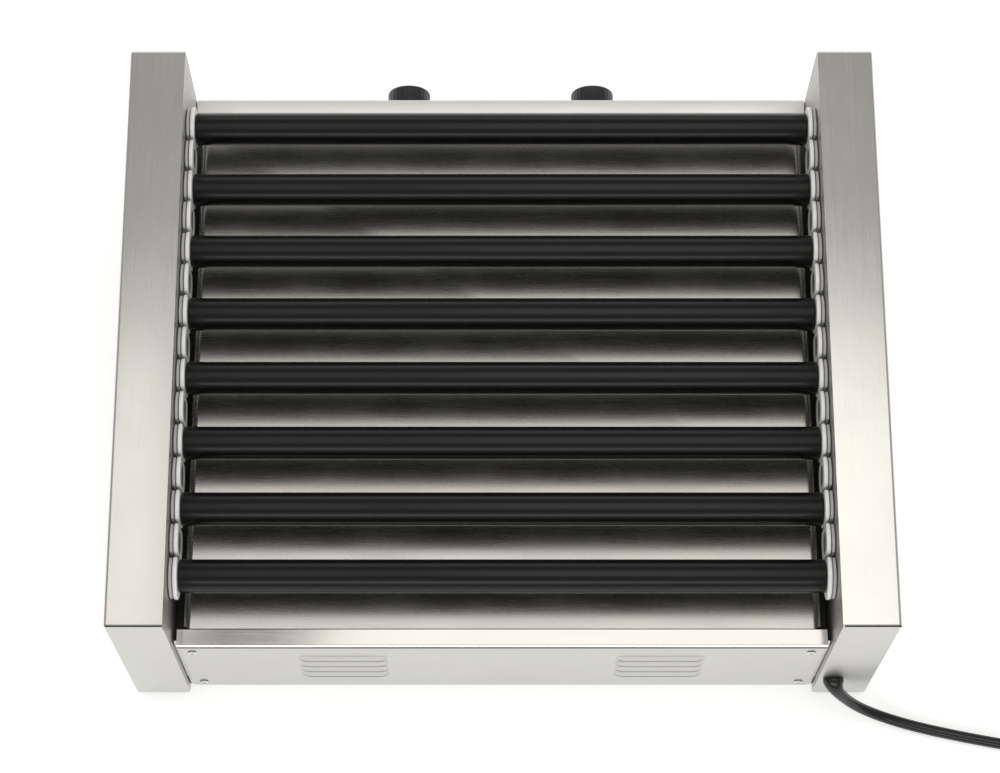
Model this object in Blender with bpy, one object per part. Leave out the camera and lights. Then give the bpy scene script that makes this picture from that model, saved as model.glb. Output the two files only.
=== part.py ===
"""A counter-top hot dog roller grill, in metres, +Z up.

The origin is on the counter, under the middle of the grill. X runs along the rollers. The back, with the
louvred panel and the mains lead, faces -Y, and the front, with the two heat knobs, faces +Y.
"""

import math

import bmesh
import bpy
import numpy as np
from mathutils import Matrix, Vector

# Driving dimensions of the casing.
SHEET = 0.0012
GAP = 0.0003
HOUSING_OUT_X = 0.2888
WALL_IN_X = 0.2460
BACK_Y = -0.241
FRONT_Y = 0.221
BOX_BOTTOM_Z = 0.010
BOX_TOP_Z = 0.215
FOLD_RADIUS = 0.0018
COVER_SCREW_Y = -0.221
COVER_SCREW_Z = 0.200

# The panels between the housings.
PANEL_HALF_X = 0.2452
PANEL_BOTTOM_Z = 0.0125
REAR_PANEL_Y = -0.2356
REAR_PANEL_TOP_Z = 0.1480
REAR_PANEL_LEDGE = 0.0060
FRONT_PANEL_TOP_Z = 0.127
FRONT_PANEL_LEDGE = 0.0125
FRONT_PANEL_LIP = 0.0045
BASE_LIP_HALF_X = 0.2440
BASE_LIP_TOP_Z = 0.0310
DECK_Z = 0.1240
LOUVRE_GROUP_X = 0.1210
LOUVRE_Z = (0.0513, 0.0676, 0.0839, 0.1002)
LOUVRE_HALF_X = 0.0327
LOUVRE_HALF_Z = 0.0022
REAR_SCREW_X = 0.2340
REAR_SCREW_Z = {"lower": 0.0249, "upper": 0.1186}
SCREW_HOLE_RADIUS = 0.0019
FOOT_X = 0.235
FOOT_Y = {"back": -0.195, "front": 0.175}

# Rollers, and the row of wall holes that carries them: one hole in two holds a roller.
ROLLERS = 8
HOLE_PITCH = 0.0259
FIRST_AXIS_Y = -0.1942
AXIS_Z = 0.183
ROLLER_RADIUS = 0.0125
ROLLER_HALF_X = 0.2386
TUBE_WALL = 0.0015
END_CAP = 0.0040
JOURNAL_RADIUS = 0.0080
HEATER_BORE_RADIUS = 0.0052
HEATER_ROD_RADIUS = 0.0035
FLANGE_RADIUS = 0.0173
FLANGE_FLAT = 0.0116
FLANGE_X = (0.2390, 0.2451)
BARREL_RADIUS = 0.0096
BUSH_BORE_RADIUS = 0.0084
BUSH_END_X = 0.2505
WALL_HOLE_RADIUS = 0.0103

# Chain drive in the right-hand housing.
CHAIN_PITCH = 0.009525
ROLLER_TEETH = 8
DRIVE_TEETH = 12
TOOTH_X = (0.2620, 0.2650)
JOURNAL_END_X = (-0.2560, 0.2680)
DRIVE_YZ = (-0.012, 0.080)
GEARBOX_X = 0.2240
GEARBOX_HALF = 0.030
MOTOR_END_X = 0.1800
MOTOR_RADIUS = 0.026
SHAFT_RADIUS = 0.0040
SHAFT_END_X = 0.2300
HUB_RADIUS = 0.0085
HUB_X = 0.2560
HEATER_BAR_X = (-0.2740, -0.2710)

# Controls on the front.
KNOB_X = 0.075
CONTROL_Z = 0.096
KNOB_RADIUS = 0.0172
KNOB_BACK_Y = 0.2225
KNOB_STEM_Y = 0.1985
KNOB_STEM_RADIUS = 0.0030
ROCKER_PIVOT_Y = 0.2185
ROCKER_REST_DEGREES = -10

# Drip tray.
TRAY_HALF_X = 0.237
TRAY_BACK_Y = -0.2262
TRAY_FRONT_Y = 0.186
TRAY_FLOOR_Z = 0.1484
TRAY_RIM_Z = 0.157
TRAY_SHEET = 0.0010
TRAY_LIP_HALF_X = 0.2425
TRAY_LIP_Y = -0.2407
TRAY_LIP_THICK = 0.0030
TRAY_RAIL_X = 0.2300

# The mains lead: its route from the strain relief to the coil, then the coil and the plug.
CORD_RADIUS = 0.0044
GLAND_X = 0.2580
GLAND_Z = 0.054
GLAND_HOLE_RADIUS = 0.0064
CORD_ROUTE = (
    (0.2656, -0.2511, 0.0420),
    (0.2786, -0.2552, 0.0251),
    (0.3020, -0.2612, 0.0106),
    (0.3235, -0.2667, 0.0062),
    (0.3450, -0.2716, 0.0048),
    (0.3660, -0.2760, 0.0046),
    (0.3930, -0.2811, 0.0046),
    (0.4260, -0.2868, 0.0046),
    (0.4600, -0.2922, 0.0046),
)
CORD_START_HEADING = (0.50, -0.20, -0.84)
COIL_ENTRY_HEADING = -9.0
COIL_ENTRY_RADIUS = 0.0530
COIL_INNER_RADIUS = 0.0305
COIL_OUTER_RADIUS = 0.0602
COIL_BOTTOM_Z = 0.0002
COIL_TOP_Z = 0.0180
CORD_TO_COIL = 0.0378
PLUG_FROM_COIL = (0.0555, 0.0330)
PLUG_Z = 0.0134

COLOURS = {
    "steel": ((0.62, 0.61, 0.58), 1.0, 0.32),
    "bright_steel": ((0.70, 0.69, 0.66), 1.0, 0.18),
    "nonstick": ((0.018, 0.018, 0.018), 0.0, 0.30),
    "ptfe": ((0.86, 0.86, 0.84), 0.0, 0.42),
    "rubber": ((0.025, 0.025, 0.025), 0.0, 0.75),
    "black_plastic": ((0.022, 0.022, 0.021), 0.0, 0.38),
    "motor_metal": ((0.38, 0.39, 0.40), 1.0, 0.45),
    "chain_steel": ((0.22, 0.21, 0.20), 1.0, 0.50),
    "terminal_plastic": ((0.75, 0.73, 0.66), 0.0, 0.50),
}


def clear_scene():
    for old in list(bpy.data.objects):
        bpy.data.objects.remove(old, do_unlink=True)


def material(slot):
    found = bpy.data.materials.get(slot)
    if found:
        return found
    colour, metallic, roughness = COLOURS[slot]
    made = bpy.data.materials.new(slot)
    made.use_nodes = True
    shader = made.node_tree.nodes["Principled BSDF"]
    shader.inputs["Base Color"].default_value = (*colour, 1.0)
    shader.inputs["Metallic"].default_value = metallic
    shader.inputs["Roughness"].default_value = roughness
    return made


def place(name, bm, slot, origin=(0.0, 0.0, 0.0)):
    """An object from bm, whose points are in world space, with the object's origin at origin."""
    bmesh.ops.recalc_face_normals(bm, faces=bm.faces[:])
    bmesh.ops.translate(bm, verts=bm.verts[:], vec=-Vector(origin))
    mesh = bpy.data.meshes.new(name)
    bm.to_mesh(mesh)
    bm.free()
    mesh.shade_smooth()
    mesh.set_sharp_from_angle(angle=math.radians(32))
    made = bpy.data.objects.new(name, mesh)
    made.location = origin
    made.data.materials.append(material(slot))
    bpy.context.scene.collection.objects.link(made)
    return made


def helper(name, bm):
    """A cutter or a shape to unite, which isn't a piece of the grill."""
    made = place(name, bm, "steel")
    made.hide_render = True
    made.display_type = "WIRE"
    return made


def combine(target, other, operation="DIFFERENCE"):
    step = target.modifiers.new(operation.title() + "_" + other.name, "BOOLEAN")
    step.operation = operation
    step.solver = "EXACT"
    step.object = other


def add_box(bm, low, high):
    size = Vector(high) - Vector(low)
    middle = (Vector(high) + Vector(low)) / 2
    bmesh.ops.create_cube(bm, size=1.0, matrix=Matrix.Translation(middle) @ Matrix.Diagonal((*size, 1.0)))


def box(low, high):
    bm = bmesh.new()
    add_box(bm, low, high)
    return bm


def sided(side, low, high):
    """Box corners given for the right-hand side, mirrored for side -1."""
    xs = sorted((side * low[0], side * high[0]))
    return (xs[0], low[1], low[2]), (xs[1], high[1], high[2])


def add_loft(bm, rings, closed_loop):
    """Skins rings of equal length: into a tube bent back on itself, or into a solid with two end caps."""
    made = [[bm.verts.new(point) for point in ring] for ring in rings]
    pairs = list(zip(made, made[1:]))
    if closed_loop:
        pairs.append((made[-1], made[0]))
    else:
        bm.faces.new(made[0][::-1])
        bm.faces.new(made[-1])
    for first, second in pairs:
        for k in range(len(first)):
            after = (k + 1) % len(first)
            bm.faces.new((first[k], first[after], second[after], second[k]))


def even_angles(sides):
    return [2 * math.pi * k / sides for k in range(sides)]


def ring_about(axis, centre, along, angles, radius_at):
    """A ring of points round a line parallel to axis, through centre, at the place along."""
    points = []
    for angle in angles:
        radius = radius_at(angle)
        across = (radius * math.cos(angle), radius * math.sin(angle))
        if axis == "X":
            points.append((along, centre[0] + across[0], centre[1] + across[1]))
        elif axis == "Y":
            points.append((centre[0] + across[0], along, centre[1] + across[1]))
        else:
            points.append((centre[0] + across[0], centre[1] + across[1], along))
    return points


def add_turned(bm, axis, centre, stations, angles, closed_loop=False):
    """Rings at stations of (place along the axis, radius), where a radius may be a function of the angle."""
    rings = []
    for along, radius in stations:
        radius_at = radius if callable(radius) else lambda angle, fixed=radius: fixed
        rings.append(ring_about(axis, centre, along, angles, radius_at))
    add_loft(bm, rings, closed_loop)


def turned(axis, centre, stations, sides, closed_loop=False):
    bm = bmesh.new()
    add_turned(bm, axis, centre, stations, even_angles(sides), closed_loop)
    return bm


def add_prism_x(bm, outline, low_x, high_x):
    """A prism along X over an outline of (y, z) points."""
    add_loft(bm, [[(x, y, z) for y, z in outline] for x in (low_x, high_x)], False)


def hole_y(index):
    return FIRST_AXIS_Y + index * HOLE_PITCH


def roller_y(index):
    return hole_y(2 * index)


def blank_indices():
    return range(1, 2 * ROLLERS - 2, 2)


def tooth_radii(teeth):
    """Tip and root radii of a roller-chain sprocket."""
    pitch_radius = CHAIN_PITCH / (2 * math.sin(math.pi / teeth))
    return pitch_radius + 0.0019, pitch_radius - 0.0031


def toothed(teeth):
    """A sprocket's radius at each angle, for rings of two points to a tooth."""
    tip, root = tooth_radii(teeth)

    def radius_at(angle):
        return tip if round(angle * teeth / math.pi) % 2 == 0 else root

    return radius_at


def flatted(radius, flat_sides):
    """The radius of a disc that is cut straight on the sides that face a neighbour, -1 or +1 along Y."""

    def radius_at(angle):
        across = math.cos(angle)
        if (across > 0 and 1 in flat_sides) or (across < 0 and -1 in flat_sides):
            return min(radius, FLANGE_FLAT / max(abs(across), 0.01))
        return radius

    return radius_at


def flange_angles(arc_steps, flat_steps):
    """Angles with points at the flats' corners: arc_steps over each arc and flat_steps over each flat."""
    corner = math.acos(FLANGE_FLAT / FLANGE_RADIUS)
    arc = math.pi - 2 * corner
    angles = []
    for start in (0.0, math.pi):
        angles += [start - corner + 2 * corner * k / flat_steps for k in range(flat_steps)]
        angles += [start + corner + arc * k / arc_steps for k in range(arc_steps)]
    return angles


def make_rollers():
    for index in range(ROLLERS):
        centre = (roller_y(index), AXIS_Z)
        stations = [
            (JOURNAL_END_X[0], JOURNAL_RADIUS),
            (-ROLLER_HALF_X, JOURNAL_RADIUS),
            (-ROLLER_HALF_X, ROLLER_RADIUS),
            (ROLLER_HALF_X, ROLLER_RADIUS),
            (ROLLER_HALF_X, JOURNAL_RADIUS),
            (TOOTH_X[0], JOURNAL_RADIUS),
            (TOOTH_X[0], toothed(ROLLER_TEETH)),
            (TOOTH_X[1], toothed(ROLLER_TEETH)),
            (TOOTH_X[1], JOURNAL_RADIUS),
            (JOURNAL_END_X[1], JOURNAL_RADIUS),
            (JOURNAL_END_X[1], HEATER_BORE_RADIUS),
            (ROLLER_HALF_X - END_CAP, HEATER_BORE_RADIUS),
            (ROLLER_HALF_X - END_CAP, ROLLER_RADIUS - TUBE_WALL),
            (END_CAP - ROLLER_HALF_X, ROLLER_RADIUS - TUBE_WALL),
            (END_CAP - ROLLER_HALF_X, HEATER_BORE_RADIUS),
            (JOURNAL_END_X[0], HEATER_BORE_RADIUS),
        ]
        bm = turned("X", centre, stations, 2 * ROLLER_TEETH, closed_loop=True)
        place(f"roller_{index + 1}", bm, "nonstick", (0.0, *centre))


def make_bushes():
    angles = flange_angles(3, 4)
    for side, word in ((-1, "left"), (1, "right")):
        for index in range(ROLLERS):
            flat_sides = [step for step in (-1, 1) if 0 <= index * 2 + step <= 2 * ROLLERS - 2]
            flange = flatted(FLANGE_RADIUS, flat_sides)
            stations = [
                (side * FLANGE_X[0], BUSH_BORE_RADIUS),
                (side * FLANGE_X[0], flange),
                (side * FLANGE_X[1], flange),
                (side * FLANGE_X[1], BARREL_RADIUS),
                (side * BUSH_END_X, BARREL_RADIUS),
                (side * BUSH_END_X, BUSH_BORE_RADIUS),
            ]
            bm = bmesh.new()
            add_turned(bm, "X", (roller_y(index), AXIS_Z), stations, angles, closed_loop=True)
            place(f"bearing_bush_{word}_{index + 1}", bm, "ptfe")


def make_blank_strips():
    """The plugs of the holes that carry no roller, on one strip behind each inner wall."""
    angles = flange_angles(2, 2)
    collar_radius = 0.0120
    collar_x = (0.2508, 0.2526)
    flange = flatted(FLANGE_RADIUS, (-1, 1))
    for side, word in ((-1, "left"), (1, "right")):
        plugs = bmesh.new()
        for index in blank_indices():
            stations = [
                (side * FLANGE_X[0], flange),
                (side * FLANGE_X[1], flange),
                (side * FLANGE_X[1], BARREL_RADIUS),
                (side * collar_x[0], BARREL_RADIUS),
                (side * collar_x[0], collar_radius),
                (side * collar_x[1], collar_radius),
            ]
            add_turned(plugs, "X", (hole_y(index), AXIS_Z), stations, angles)
        low = (collar_x[0] + GAP, hole_y(1), AXIS_Z - 0.0150)
        high = (collar_x[1] - GAP, hole_y(2 * ROLLERS - 3), AXIS_Z - JOURNAL_RADIUS - 0.0007)
        strip = place(f"blank_strip_{word}", box(*sided(side, low, high)), "ptfe")
        combine(strip, helper(f"plugs_{word}", plugs), "UNION")


def make_covers():
    """Each side cover is folded from sheet and is open underneath and towards the rollers."""
    for side, word in ((-1, "left"), (1, "right")):
        low, high = sided(side, (WALL_IN_X, BACK_Y, BOX_BOTTOM_Z), (HOUSING_OUT_X, FRONT_Y, BOX_TOP_Z))
        bm = box(low, high)
        open_faces = [f for f in bm.faces if f.normal.z < -0.5 or f.normal.x * side < -0.5]
        bmesh.ops.delete(bm, geom=open_faces, context="FACES")
        folds = [edge for edge in bm.edges if len(edge.link_faces) == 2]
        bmesh.ops.bevel(bm, geom=folds, offset=FOLD_RADIUS, segments=2, profile=0.5, affect="EDGES")
        cover = place(f"{word}_cover", bm, "steel")
        if sum(face.normal.z for face in cover.data.polygons) < 0:
            cover.data.flip_normals()
        wall = cover.modifiers.new("sheet", "SOLIDIFY")
        wall.thickness = SHEET
        wall.offset = -1.0
        wall.use_even_offset = True
        holes = bmesh.new()
        stations = [(side * 0.280, 0.0021), (side * 0.295, 0.0021)]
        add_turned(holes, "X", (COVER_SCREW_Y, COVER_SCREW_Z), stations, even_angles(10))
        if side > 0:
            stations = [(BACK_Y - 0.004, GLAND_HOLE_RADIUS), (BACK_Y + 0.005, GLAND_HOLE_RADIUS)]
            add_turned(holes, "Y", (GLAND_X, GLAND_Z), stations, even_angles(14))
        combine(cover, helper(f"cover_holes_{word}", holes))


def make_inner_walls():
    """The bearing plates, each with a flange at each end for the panels."""
    back_flange_y = REAR_PANEL_Y + SHEET + GAP
    for side, word in ((-1, "left"), (1, "right")):
        low = (WALL_IN_X, BACK_Y + SHEET + GAP, BOX_BOTTOM_Z + SHEET + GAP)
        high = (WALL_IN_X + SHEET, FRONT_Y - SHEET - GAP, BOX_TOP_Z - SHEET - GAP)
        wall = place(f"{word}_inner_wall", box(*sided(side, low, high)), "bright_steel")
        folds = bmesh.new()
        inset = WALL_IN_X + SHEET / 2
        for y, top_z in ((back_flange_y, 0.135), (0.2120, 0.115)):
            add_box(folds, *sided(side, (0.2250, y, 0.035), (inset, y + SHEET, top_z)))
        combine(wall, helper(f"wall_folds_{word}", folds), "UNION")
        holes = bmesh.new()
        across = [(side * (WALL_IN_X + past), WALL_HOLE_RADIUS) for past in (-0.002, 0.004)]
        for index in range(2 * ROLLERS - 1):
            add_turned(holes, "X", (hole_y(index), AXIS_Z), across, even_angles(14))
        if side > 0:
            shaft = [(0.2455, 0.0065), (0.2515, 0.0065)]
            add_turned(holes, "X", DRIVE_YZ, shaft, even_angles(12))
        screw = [(back_flange_y - 0.001, SCREW_HOLE_RADIUS), (back_flange_y + 0.003, SCREW_HOLE_RADIUS)]
        add_turned(holes, "Y", (side * REAR_SCREW_X, REAR_SCREW_Z["upper"]), screw, even_angles(8))
        combine(wall, helper(f"wall_holes_{word}", holes))


def louvre_outline(middle_x, z):
    """A slot with round ends, as (x, z) points."""
    points = []
    for end in (1, -1):
        for k in range(5):
            angle = math.pi * (k / 4 - 0.5) + (0 if end > 0 else math.pi)
            across = end * (LOUVRE_HALF_X - LOUVRE_HALF_Z) + LOUVRE_HALF_Z * math.cos(angle)
            points.append((middle_x + across, z + LOUVRE_HALF_Z * math.sin(angle)))
    return points


def make_rear_panel():
    y, top_z = REAR_PANEL_Y, REAR_PANEL_TOP_Z
    profile = [
        (y, PANEL_BOTTOM_Z),
        (y, top_z - 0.0020),
        (y + 0.0006, top_z - 0.0006),
        (y + 0.0020, top_z),
        (y + REAR_PANEL_LEDGE, top_z),
        (y + REAR_PANEL_LEDGE, top_z - SHEET),
        (y + SHEET, top_z - SHEET),
        (y + SHEET, PANEL_BOTTOM_Z),
    ]
    bm = bmesh.new()
    add_prism_x(bm, profile, -PANEL_HALF_X, PANEL_HALF_X)
    panel = place("rear_panel", bm, "steel")
    holes = bmesh.new()
    through = (y - 0.0025, y + 0.0035)
    for middle_x in (-LOUVRE_GROUP_X, LOUVRE_GROUP_X):
        for z in LOUVRE_Z:
            outline = louvre_outline(middle_x, z)
            add_loft(holes, [[(x, end_y, h) for x, h in outline] for end_y in through], False)
    for x in (-REAR_SCREW_X, REAR_SCREW_X):
        for z in REAR_SCREW_Z.values():
            stations = [(end_y, SCREW_HOLE_RADIUS) for end_y in through]
            add_turned(holes, "Y", (x, z), stations, even_angles(8))
    combine(panel, helper("rear_panel_holes", holes))


def make_front_panel():
    top_z, ledge_y = FRONT_PANEL_TOP_Z, FRONT_Y - FRONT_PANEL_LEDGE
    profile = [
        (FRONT_Y, PANEL_BOTTOM_Z),
        (FRONT_Y, top_z),
        (ledge_y, top_z),
        (ledge_y, top_z - FRONT_PANEL_LIP),
        (ledge_y + SHEET, top_z - FRONT_PANEL_LIP),
        (ledge_y + SHEET, top_z - SHEET),
        (FRONT_Y - SHEET, top_z - SHEET),
        (FRONT_Y - SHEET, PANEL_BOTTOM_Z),
    ]
    bm = bmesh.new()
    add_prism_x(bm, profile, -PANEL_HALF_X, PANEL_HALF_X)
    panel = place("front_panel", bm, "steel")
    holes = bmesh.new()
    low_y, high_y = FRONT_Y - 0.003, FRONT_Y + 0.002
    for x in (-KNOB_X, KNOB_X):
        add_turned(holes, "Y", (x, CONTROL_Z), [(low_y, 0.0050), (high_y, 0.0050)], even_angles(12))
    add_box(holes, (-0.0103, low_y, CONTROL_Z - 0.0078), (0.0103, high_y, CONTROL_Z + 0.0078))
    combine(panel, helper("front_panel_holes", holes))


def make_base_plate():
    half_x = HOUSING_OUT_X - SHEET - GAP
    back_lip_y = REAR_PANEL_Y + SHEET + GAP
    low = (-half_x, back_lip_y, BOX_BOTTOM_Z)
    high = (half_x, FRONT_Y - SHEET - GAP, BOX_BOTTOM_Z + SHEET)
    plate = place("base_plate", box(low, high), "steel")
    lips = bmesh.new()
    lip_bottom_z = BOX_BOTTOM_Z + SHEET / 2
    for y in (back_lip_y, high[1] - SHEET):
        add_box(lips, (-BASE_LIP_HALF_X, y, lip_bottom_z), (BASE_LIP_HALF_X, y + SHEET, BASE_LIP_TOP_Z))
    combine(plate, helper("base_lips", lips), "UNION")
    holes = bmesh.new()
    screw = [(back_lip_y - 0.002, SCREW_HOLE_RADIUS), (back_lip_y + 0.003, SCREW_HOLE_RADIUS)]
    for x in (-REAR_SCREW_X, REAR_SCREW_X):
        add_turned(holes, "Y", (x, REAR_SCREW_Z["lower"]), screw, even_angles(8))
    for x in (-FOOT_X, FOOT_X):
        for y in FOOT_Y.values():
            add_turned(holes, "Z", (x, y), [(0.008, 0.0030), (0.014, 0.0030)], even_angles(8))
    combine(plate, helper("base_holes", holes))


def make_inner_deck():
    """The deck keeps drips off the motor and the wiring. Its two rails carry the tray from below."""
    half_x = WALL_IN_X - 2 * GAP
    bm = box((-half_x, -0.2325, DECK_Z), (half_x, 0.2080, DECK_Z + SHEET))
    deck = place("inner_deck", bm, "steel")
    rails = bmesh.new()
    low = (TRAY_RAIL_X, -0.2250, DECK_Z + SHEET / 2)
    high = (TRAY_RAIL_X + SHEET, TRAY_FRONT_Y, TRAY_FLOOR_Z - GAP)
    for side in (-1, 1):
        add_box(rails, *sided(side, low, high))
    combine(deck, helper("deck_rails", rails), "UNION")


def make_feet():
    """Each foot has a stem that passes up through the base plate."""
    top_z = BOX_BOTTOM_Z - GAP
    stations = [(0.0, 0.0105), (0.0015, 0.0115), (top_z, 0.0125), (top_z, 0.0025), (0.0150, 0.0025)]
    for end_word, y in FOOT_Y.items():
        for side, word in ((-1, "left"), (1, "right")):
            place(f"foot_{end_word}_{word}", turned("Z", (side * FOOT_X, y), stations, 14), "rubber")


def make_drip_tray():
    """A pan with rims on three sides, whose back edge carries a lip that lies over the back panel."""
    low = (-TRAY_HALF_X, TRAY_BACK_Y, TRAY_FLOOR_Z)
    high = (TRAY_HALF_X, TRAY_FRONT_Y, TRAY_RIM_Z)
    tray = place("drip_tray", box(low, high), "bright_steel")
    inner_x = TRAY_HALF_X - TRAY_SHEET
    low = (-inner_x, TRAY_BACK_Y - 0.01, TRAY_FLOOR_Z + TRAY_SHEET)
    high = (inner_x, TRAY_FRONT_Y - TRAY_SHEET, TRAY_RIM_Z + 0.01)
    combine(tray, helper("tray_hollow", box(low, high)))
    lip_z = TRAY_FLOOR_Z + 0.0001
    low = (-TRAY_LIP_HALF_X, TRAY_LIP_Y, lip_z)
    high = (TRAY_LIP_HALF_X, TRAY_BACK_Y + 0.0008, lip_z + TRAY_LIP_THICK)
    combine(tray, helper("tray_lip", box(low, high)), "UNION")


def make_knobs():
    stations = [
        (KNOB_STEM_Y, KNOB_STEM_RADIUS),
        (KNOB_BACK_Y, KNOB_STEM_RADIUS),
        (KNOB_BACK_Y, KNOB_RADIUS),
        (KNOB_BACK_Y + 0.0035, KNOB_RADIUS),
        (KNOB_BACK_Y + 0.0050, KNOB_RADIUS - 0.0022),
        (KNOB_BACK_Y + 0.0175, KNOB_RADIUS - 0.0030),
        (KNOB_BACK_Y + 0.0185, KNOB_RADIUS - 0.0040),
    ]
    for x, word in ((-KNOB_X, "left"), (KNOB_X, "right")):
        bm = turned("Y", (x, CONTROL_Z), stations, 20)
        place(f"knob_{word}", bm, "black_plastic", (x, KNOB_BACK_Y, CONTROL_Z))


def make_thermostats():
    half = 0.014
    bore_radius = KNOB_STEM_RADIUS + 0.0004
    for x, word in ((-KNOB_X, "left"), (KNOB_X, "right")):
        bm = box((x - half, 0.1880, CONTROL_Z - half), (x + half, 0.2190, CONTROL_Z + half))
        body = place(f"thermostat_{word}", bm, "terminal_plastic")
        bore = turned("Y", (x, CONTROL_Z), [(0.1970, bore_radius), (FRONT_Y + 0.001, bore_radius)], 12)
        combine(body, helper(f"thermostat_bore_{word}", bore))


def make_switch():
    bm = box((-0.0100, 0.1980, CONTROL_Z - 0.0075), (0.0100, 0.2220, CONTROL_Z + 0.0075))
    housing = place("switch_housing", bm, "black_plastic")
    bezel = box((-0.0130, FRONT_Y + GAP, CONTROL_Z - 0.0105), (0.0130, 0.2235, CONTROL_Z + 0.0105))
    combine(housing, helper("switch_bezel", bezel), "UNION")
    well = box((-0.0082, 0.2110, CONTROL_Z - 0.0063), (0.0082, 0.2300, CONTROL_Z + 0.0063))
    combine(housing, helper("switch_well", well))
    pivot = (0.0, ROCKER_PIVOT_Y, CONTROL_Z)
    rocker = bmesh.new()
    outline = [(-0.004, -0.0035), (0.0052, -0.0050), (0.0040, 0.0), (0.0052, 0.0050), (-0.004, 0.0035)]
    add_prism_x(rocker, [(pivot[1] + out, pivot[2] + up) for out, up in outline], -0.0078, 0.0078)
    tilt = Matrix.Rotation(math.radians(ROCKER_REST_DEGREES), 3, "X")
    bmesh.ops.rotate(rocker, verts=rocker.verts[:], cent=pivot, matrix=tilt)
    place("switch_rocker", rocker, "black_plastic", pivot)


def make_screws():
    head_y = REAR_PANEL_Y - GAP
    stations = [(head_y - 0.0014, 0.0022), (head_y - 0.0008, 0.0032), (head_y, 0.0035)]
    stations += [(head_y, 0.0015), (head_y + 0.0053, 0.0015)]
    for x, side_word in ((-REAR_SCREW_X, "left"), (REAR_SCREW_X, "right")):
        for level, z in REAR_SCREW_Z.items():
            place(f"rear_screw_{side_word}_{level}", turned("Y", (x, z), stations, 10), "bright_steel")
    head_x = HOUSING_OUT_X + GAP
    profile = [(head_x + 0.0009, 0.0022), (head_x + 0.0005, 0.0032), (head_x, 0.0035)]
    profile += [(head_x, 0.0017), (head_x - 0.0071, 0.0017)]
    for side, word in ((-1, "left"), (1, "right")):
        stations = [(side * x, radius) for x, radius in profile]
        bm = turned("X", (COVER_SCREW_Y, COVER_SCREW_Z), stations, 10)
        place(f"cover_screw_{word}", bm, "bright_steel")


def make_heater_bank():
    """A sheathed heating rod stands still inside each roller, held by a bar in the left housing."""
    rods = bmesh.new()
    for index in range(ROLLERS):
        stations = [(HEATER_BAR_X[0] + 0.0025, HEATER_ROD_RADIUS), (0.2740, HEATER_ROD_RADIUS)]
        add_turned(rods, "X", (roller_y(index), AXIS_Z), stations, even_angles(8))
    low = (HEATER_BAR_X[0], roller_y(0) - 0.012, AXIS_Z - 0.008)
    high = (HEATER_BAR_X[1], roller_y(ROLLERS - 1) + 0.012, AXIS_Z + 0.008)
    bank = place("heater_bank", box(low, high), "motor_metal")
    combine(bank, helper("heater_rods", rods), "UNION")


def make_drive():
    y, z = DRIVE_YZ
    low = (GEARBOX_X, y - GEARBOX_HALF, z - GEARBOX_HALF)
    high = (WALL_IN_X - GAP, y + GEARBOX_HALF, z + GEARBOX_HALF)
    motor = place("gear_motor", box(low, high), "motor_metal")
    can = [(MOTOR_END_X, MOTOR_RADIUS), (GEARBOX_X + 0.0005, MOTOR_RADIUS)]
    combine(motor, helper("motor_can", turned("X", DRIVE_YZ, can, 18)), "UNION")
    bore_radius = SHAFT_RADIUS + 0.0004
    bore = [(SHAFT_END_X - 0.0010, bore_radius), (WALL_IN_X + 0.0015, bore_radius)]
    combine(motor, helper("motor_bore", turned("X", DRIVE_YZ, bore, 12)))
    stations = [
        (SHAFT_END_X, SHAFT_RADIUS),
        (HUB_X, SHAFT_RADIUS),
        (HUB_X, HUB_RADIUS),
        (TOOTH_X[0], HUB_RADIUS),
        (TOOTH_X[0], toothed(DRIVE_TEETH)),
        (TOOTH_X[1], toothed(DRIVE_TEETH)),
        (TOOTH_X[1], HUB_RADIUS),
        (JOURNAL_END_X[1], HUB_RADIUS),
    ]
    bm = turned("X", DRIVE_YZ, stations, 2 * DRIVE_TEETH)
    place("drive_sprocket", bm, "chain_steel", (TOOTH_X[0], y, z))


def belt_outline(wheels, arc_steps):
    """The outline of a belt round wheels of (y, z, radius), given anticlockwise as seen from +X."""
    points = []
    tangents = []
    for k, (y0, z0, r0) in enumerate(wheels):
        y1, z1, r1 = wheels[(k + 1) % len(wheels)]
        apart = math.hypot(y1 - y0, z1 - z0)
        tangents.append(math.atan2(z1 - z0, y1 - y0) - math.acos((r0 - r1) / apart))
    for k, (y, z, radius) in enumerate(wheels):
        start = tangents[k - 1]
        sweep = (tangents[k] - start) % (2 * math.pi)
        for step in range(arc_steps + 1):
            angle = start + sweep * step / arc_steps
            points.append((y + radius * math.cos(angle), z + radius * math.sin(angle)))
    return points


def make_chain():
    """The chain runs over all the roller sprockets and down round the motor's, just clear of the teeth."""
    clear, thick = 0.0005, 0.0030
    roller_tip = tooth_radii(ROLLER_TEETH)[0]
    drive_tip = tooth_radii(DRIVE_TEETH)[0]
    loops = []
    for grow in (clear, clear + thick):
        wheels = [
            (*DRIVE_YZ, drive_tip + grow),
            (roller_y(ROLLERS - 1), AXIS_Z, roller_tip + grow),
            (roller_y(0), AXIS_Z, roller_tip + grow),
        ]
        loops.append(belt_outline(wheels, 8))
    inner, outer = loops
    low_x, high_x = TOOTH_X[0] - 0.0010, TOOTH_X[1] + 0.0010
    corners = ((low_x, inner), (low_x, outer), (high_x, outer), (high_x, inner))
    rings = [[(x, y, z) for y, z in loop] for x, loop in corners]
    bm = bmesh.new()
    add_loft(bm, rings, True)
    place("drive_chain", bm, "chain_steel")


def make_terminal_block():
    place("terminal_block", box((0.2560, -0.2100, 0.0400), (0.2760, -0.1700, 0.0600)), "terminal_plastic")


def unit(vector):
    return np.array(vector, float) / np.linalg.norm(vector)


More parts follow.
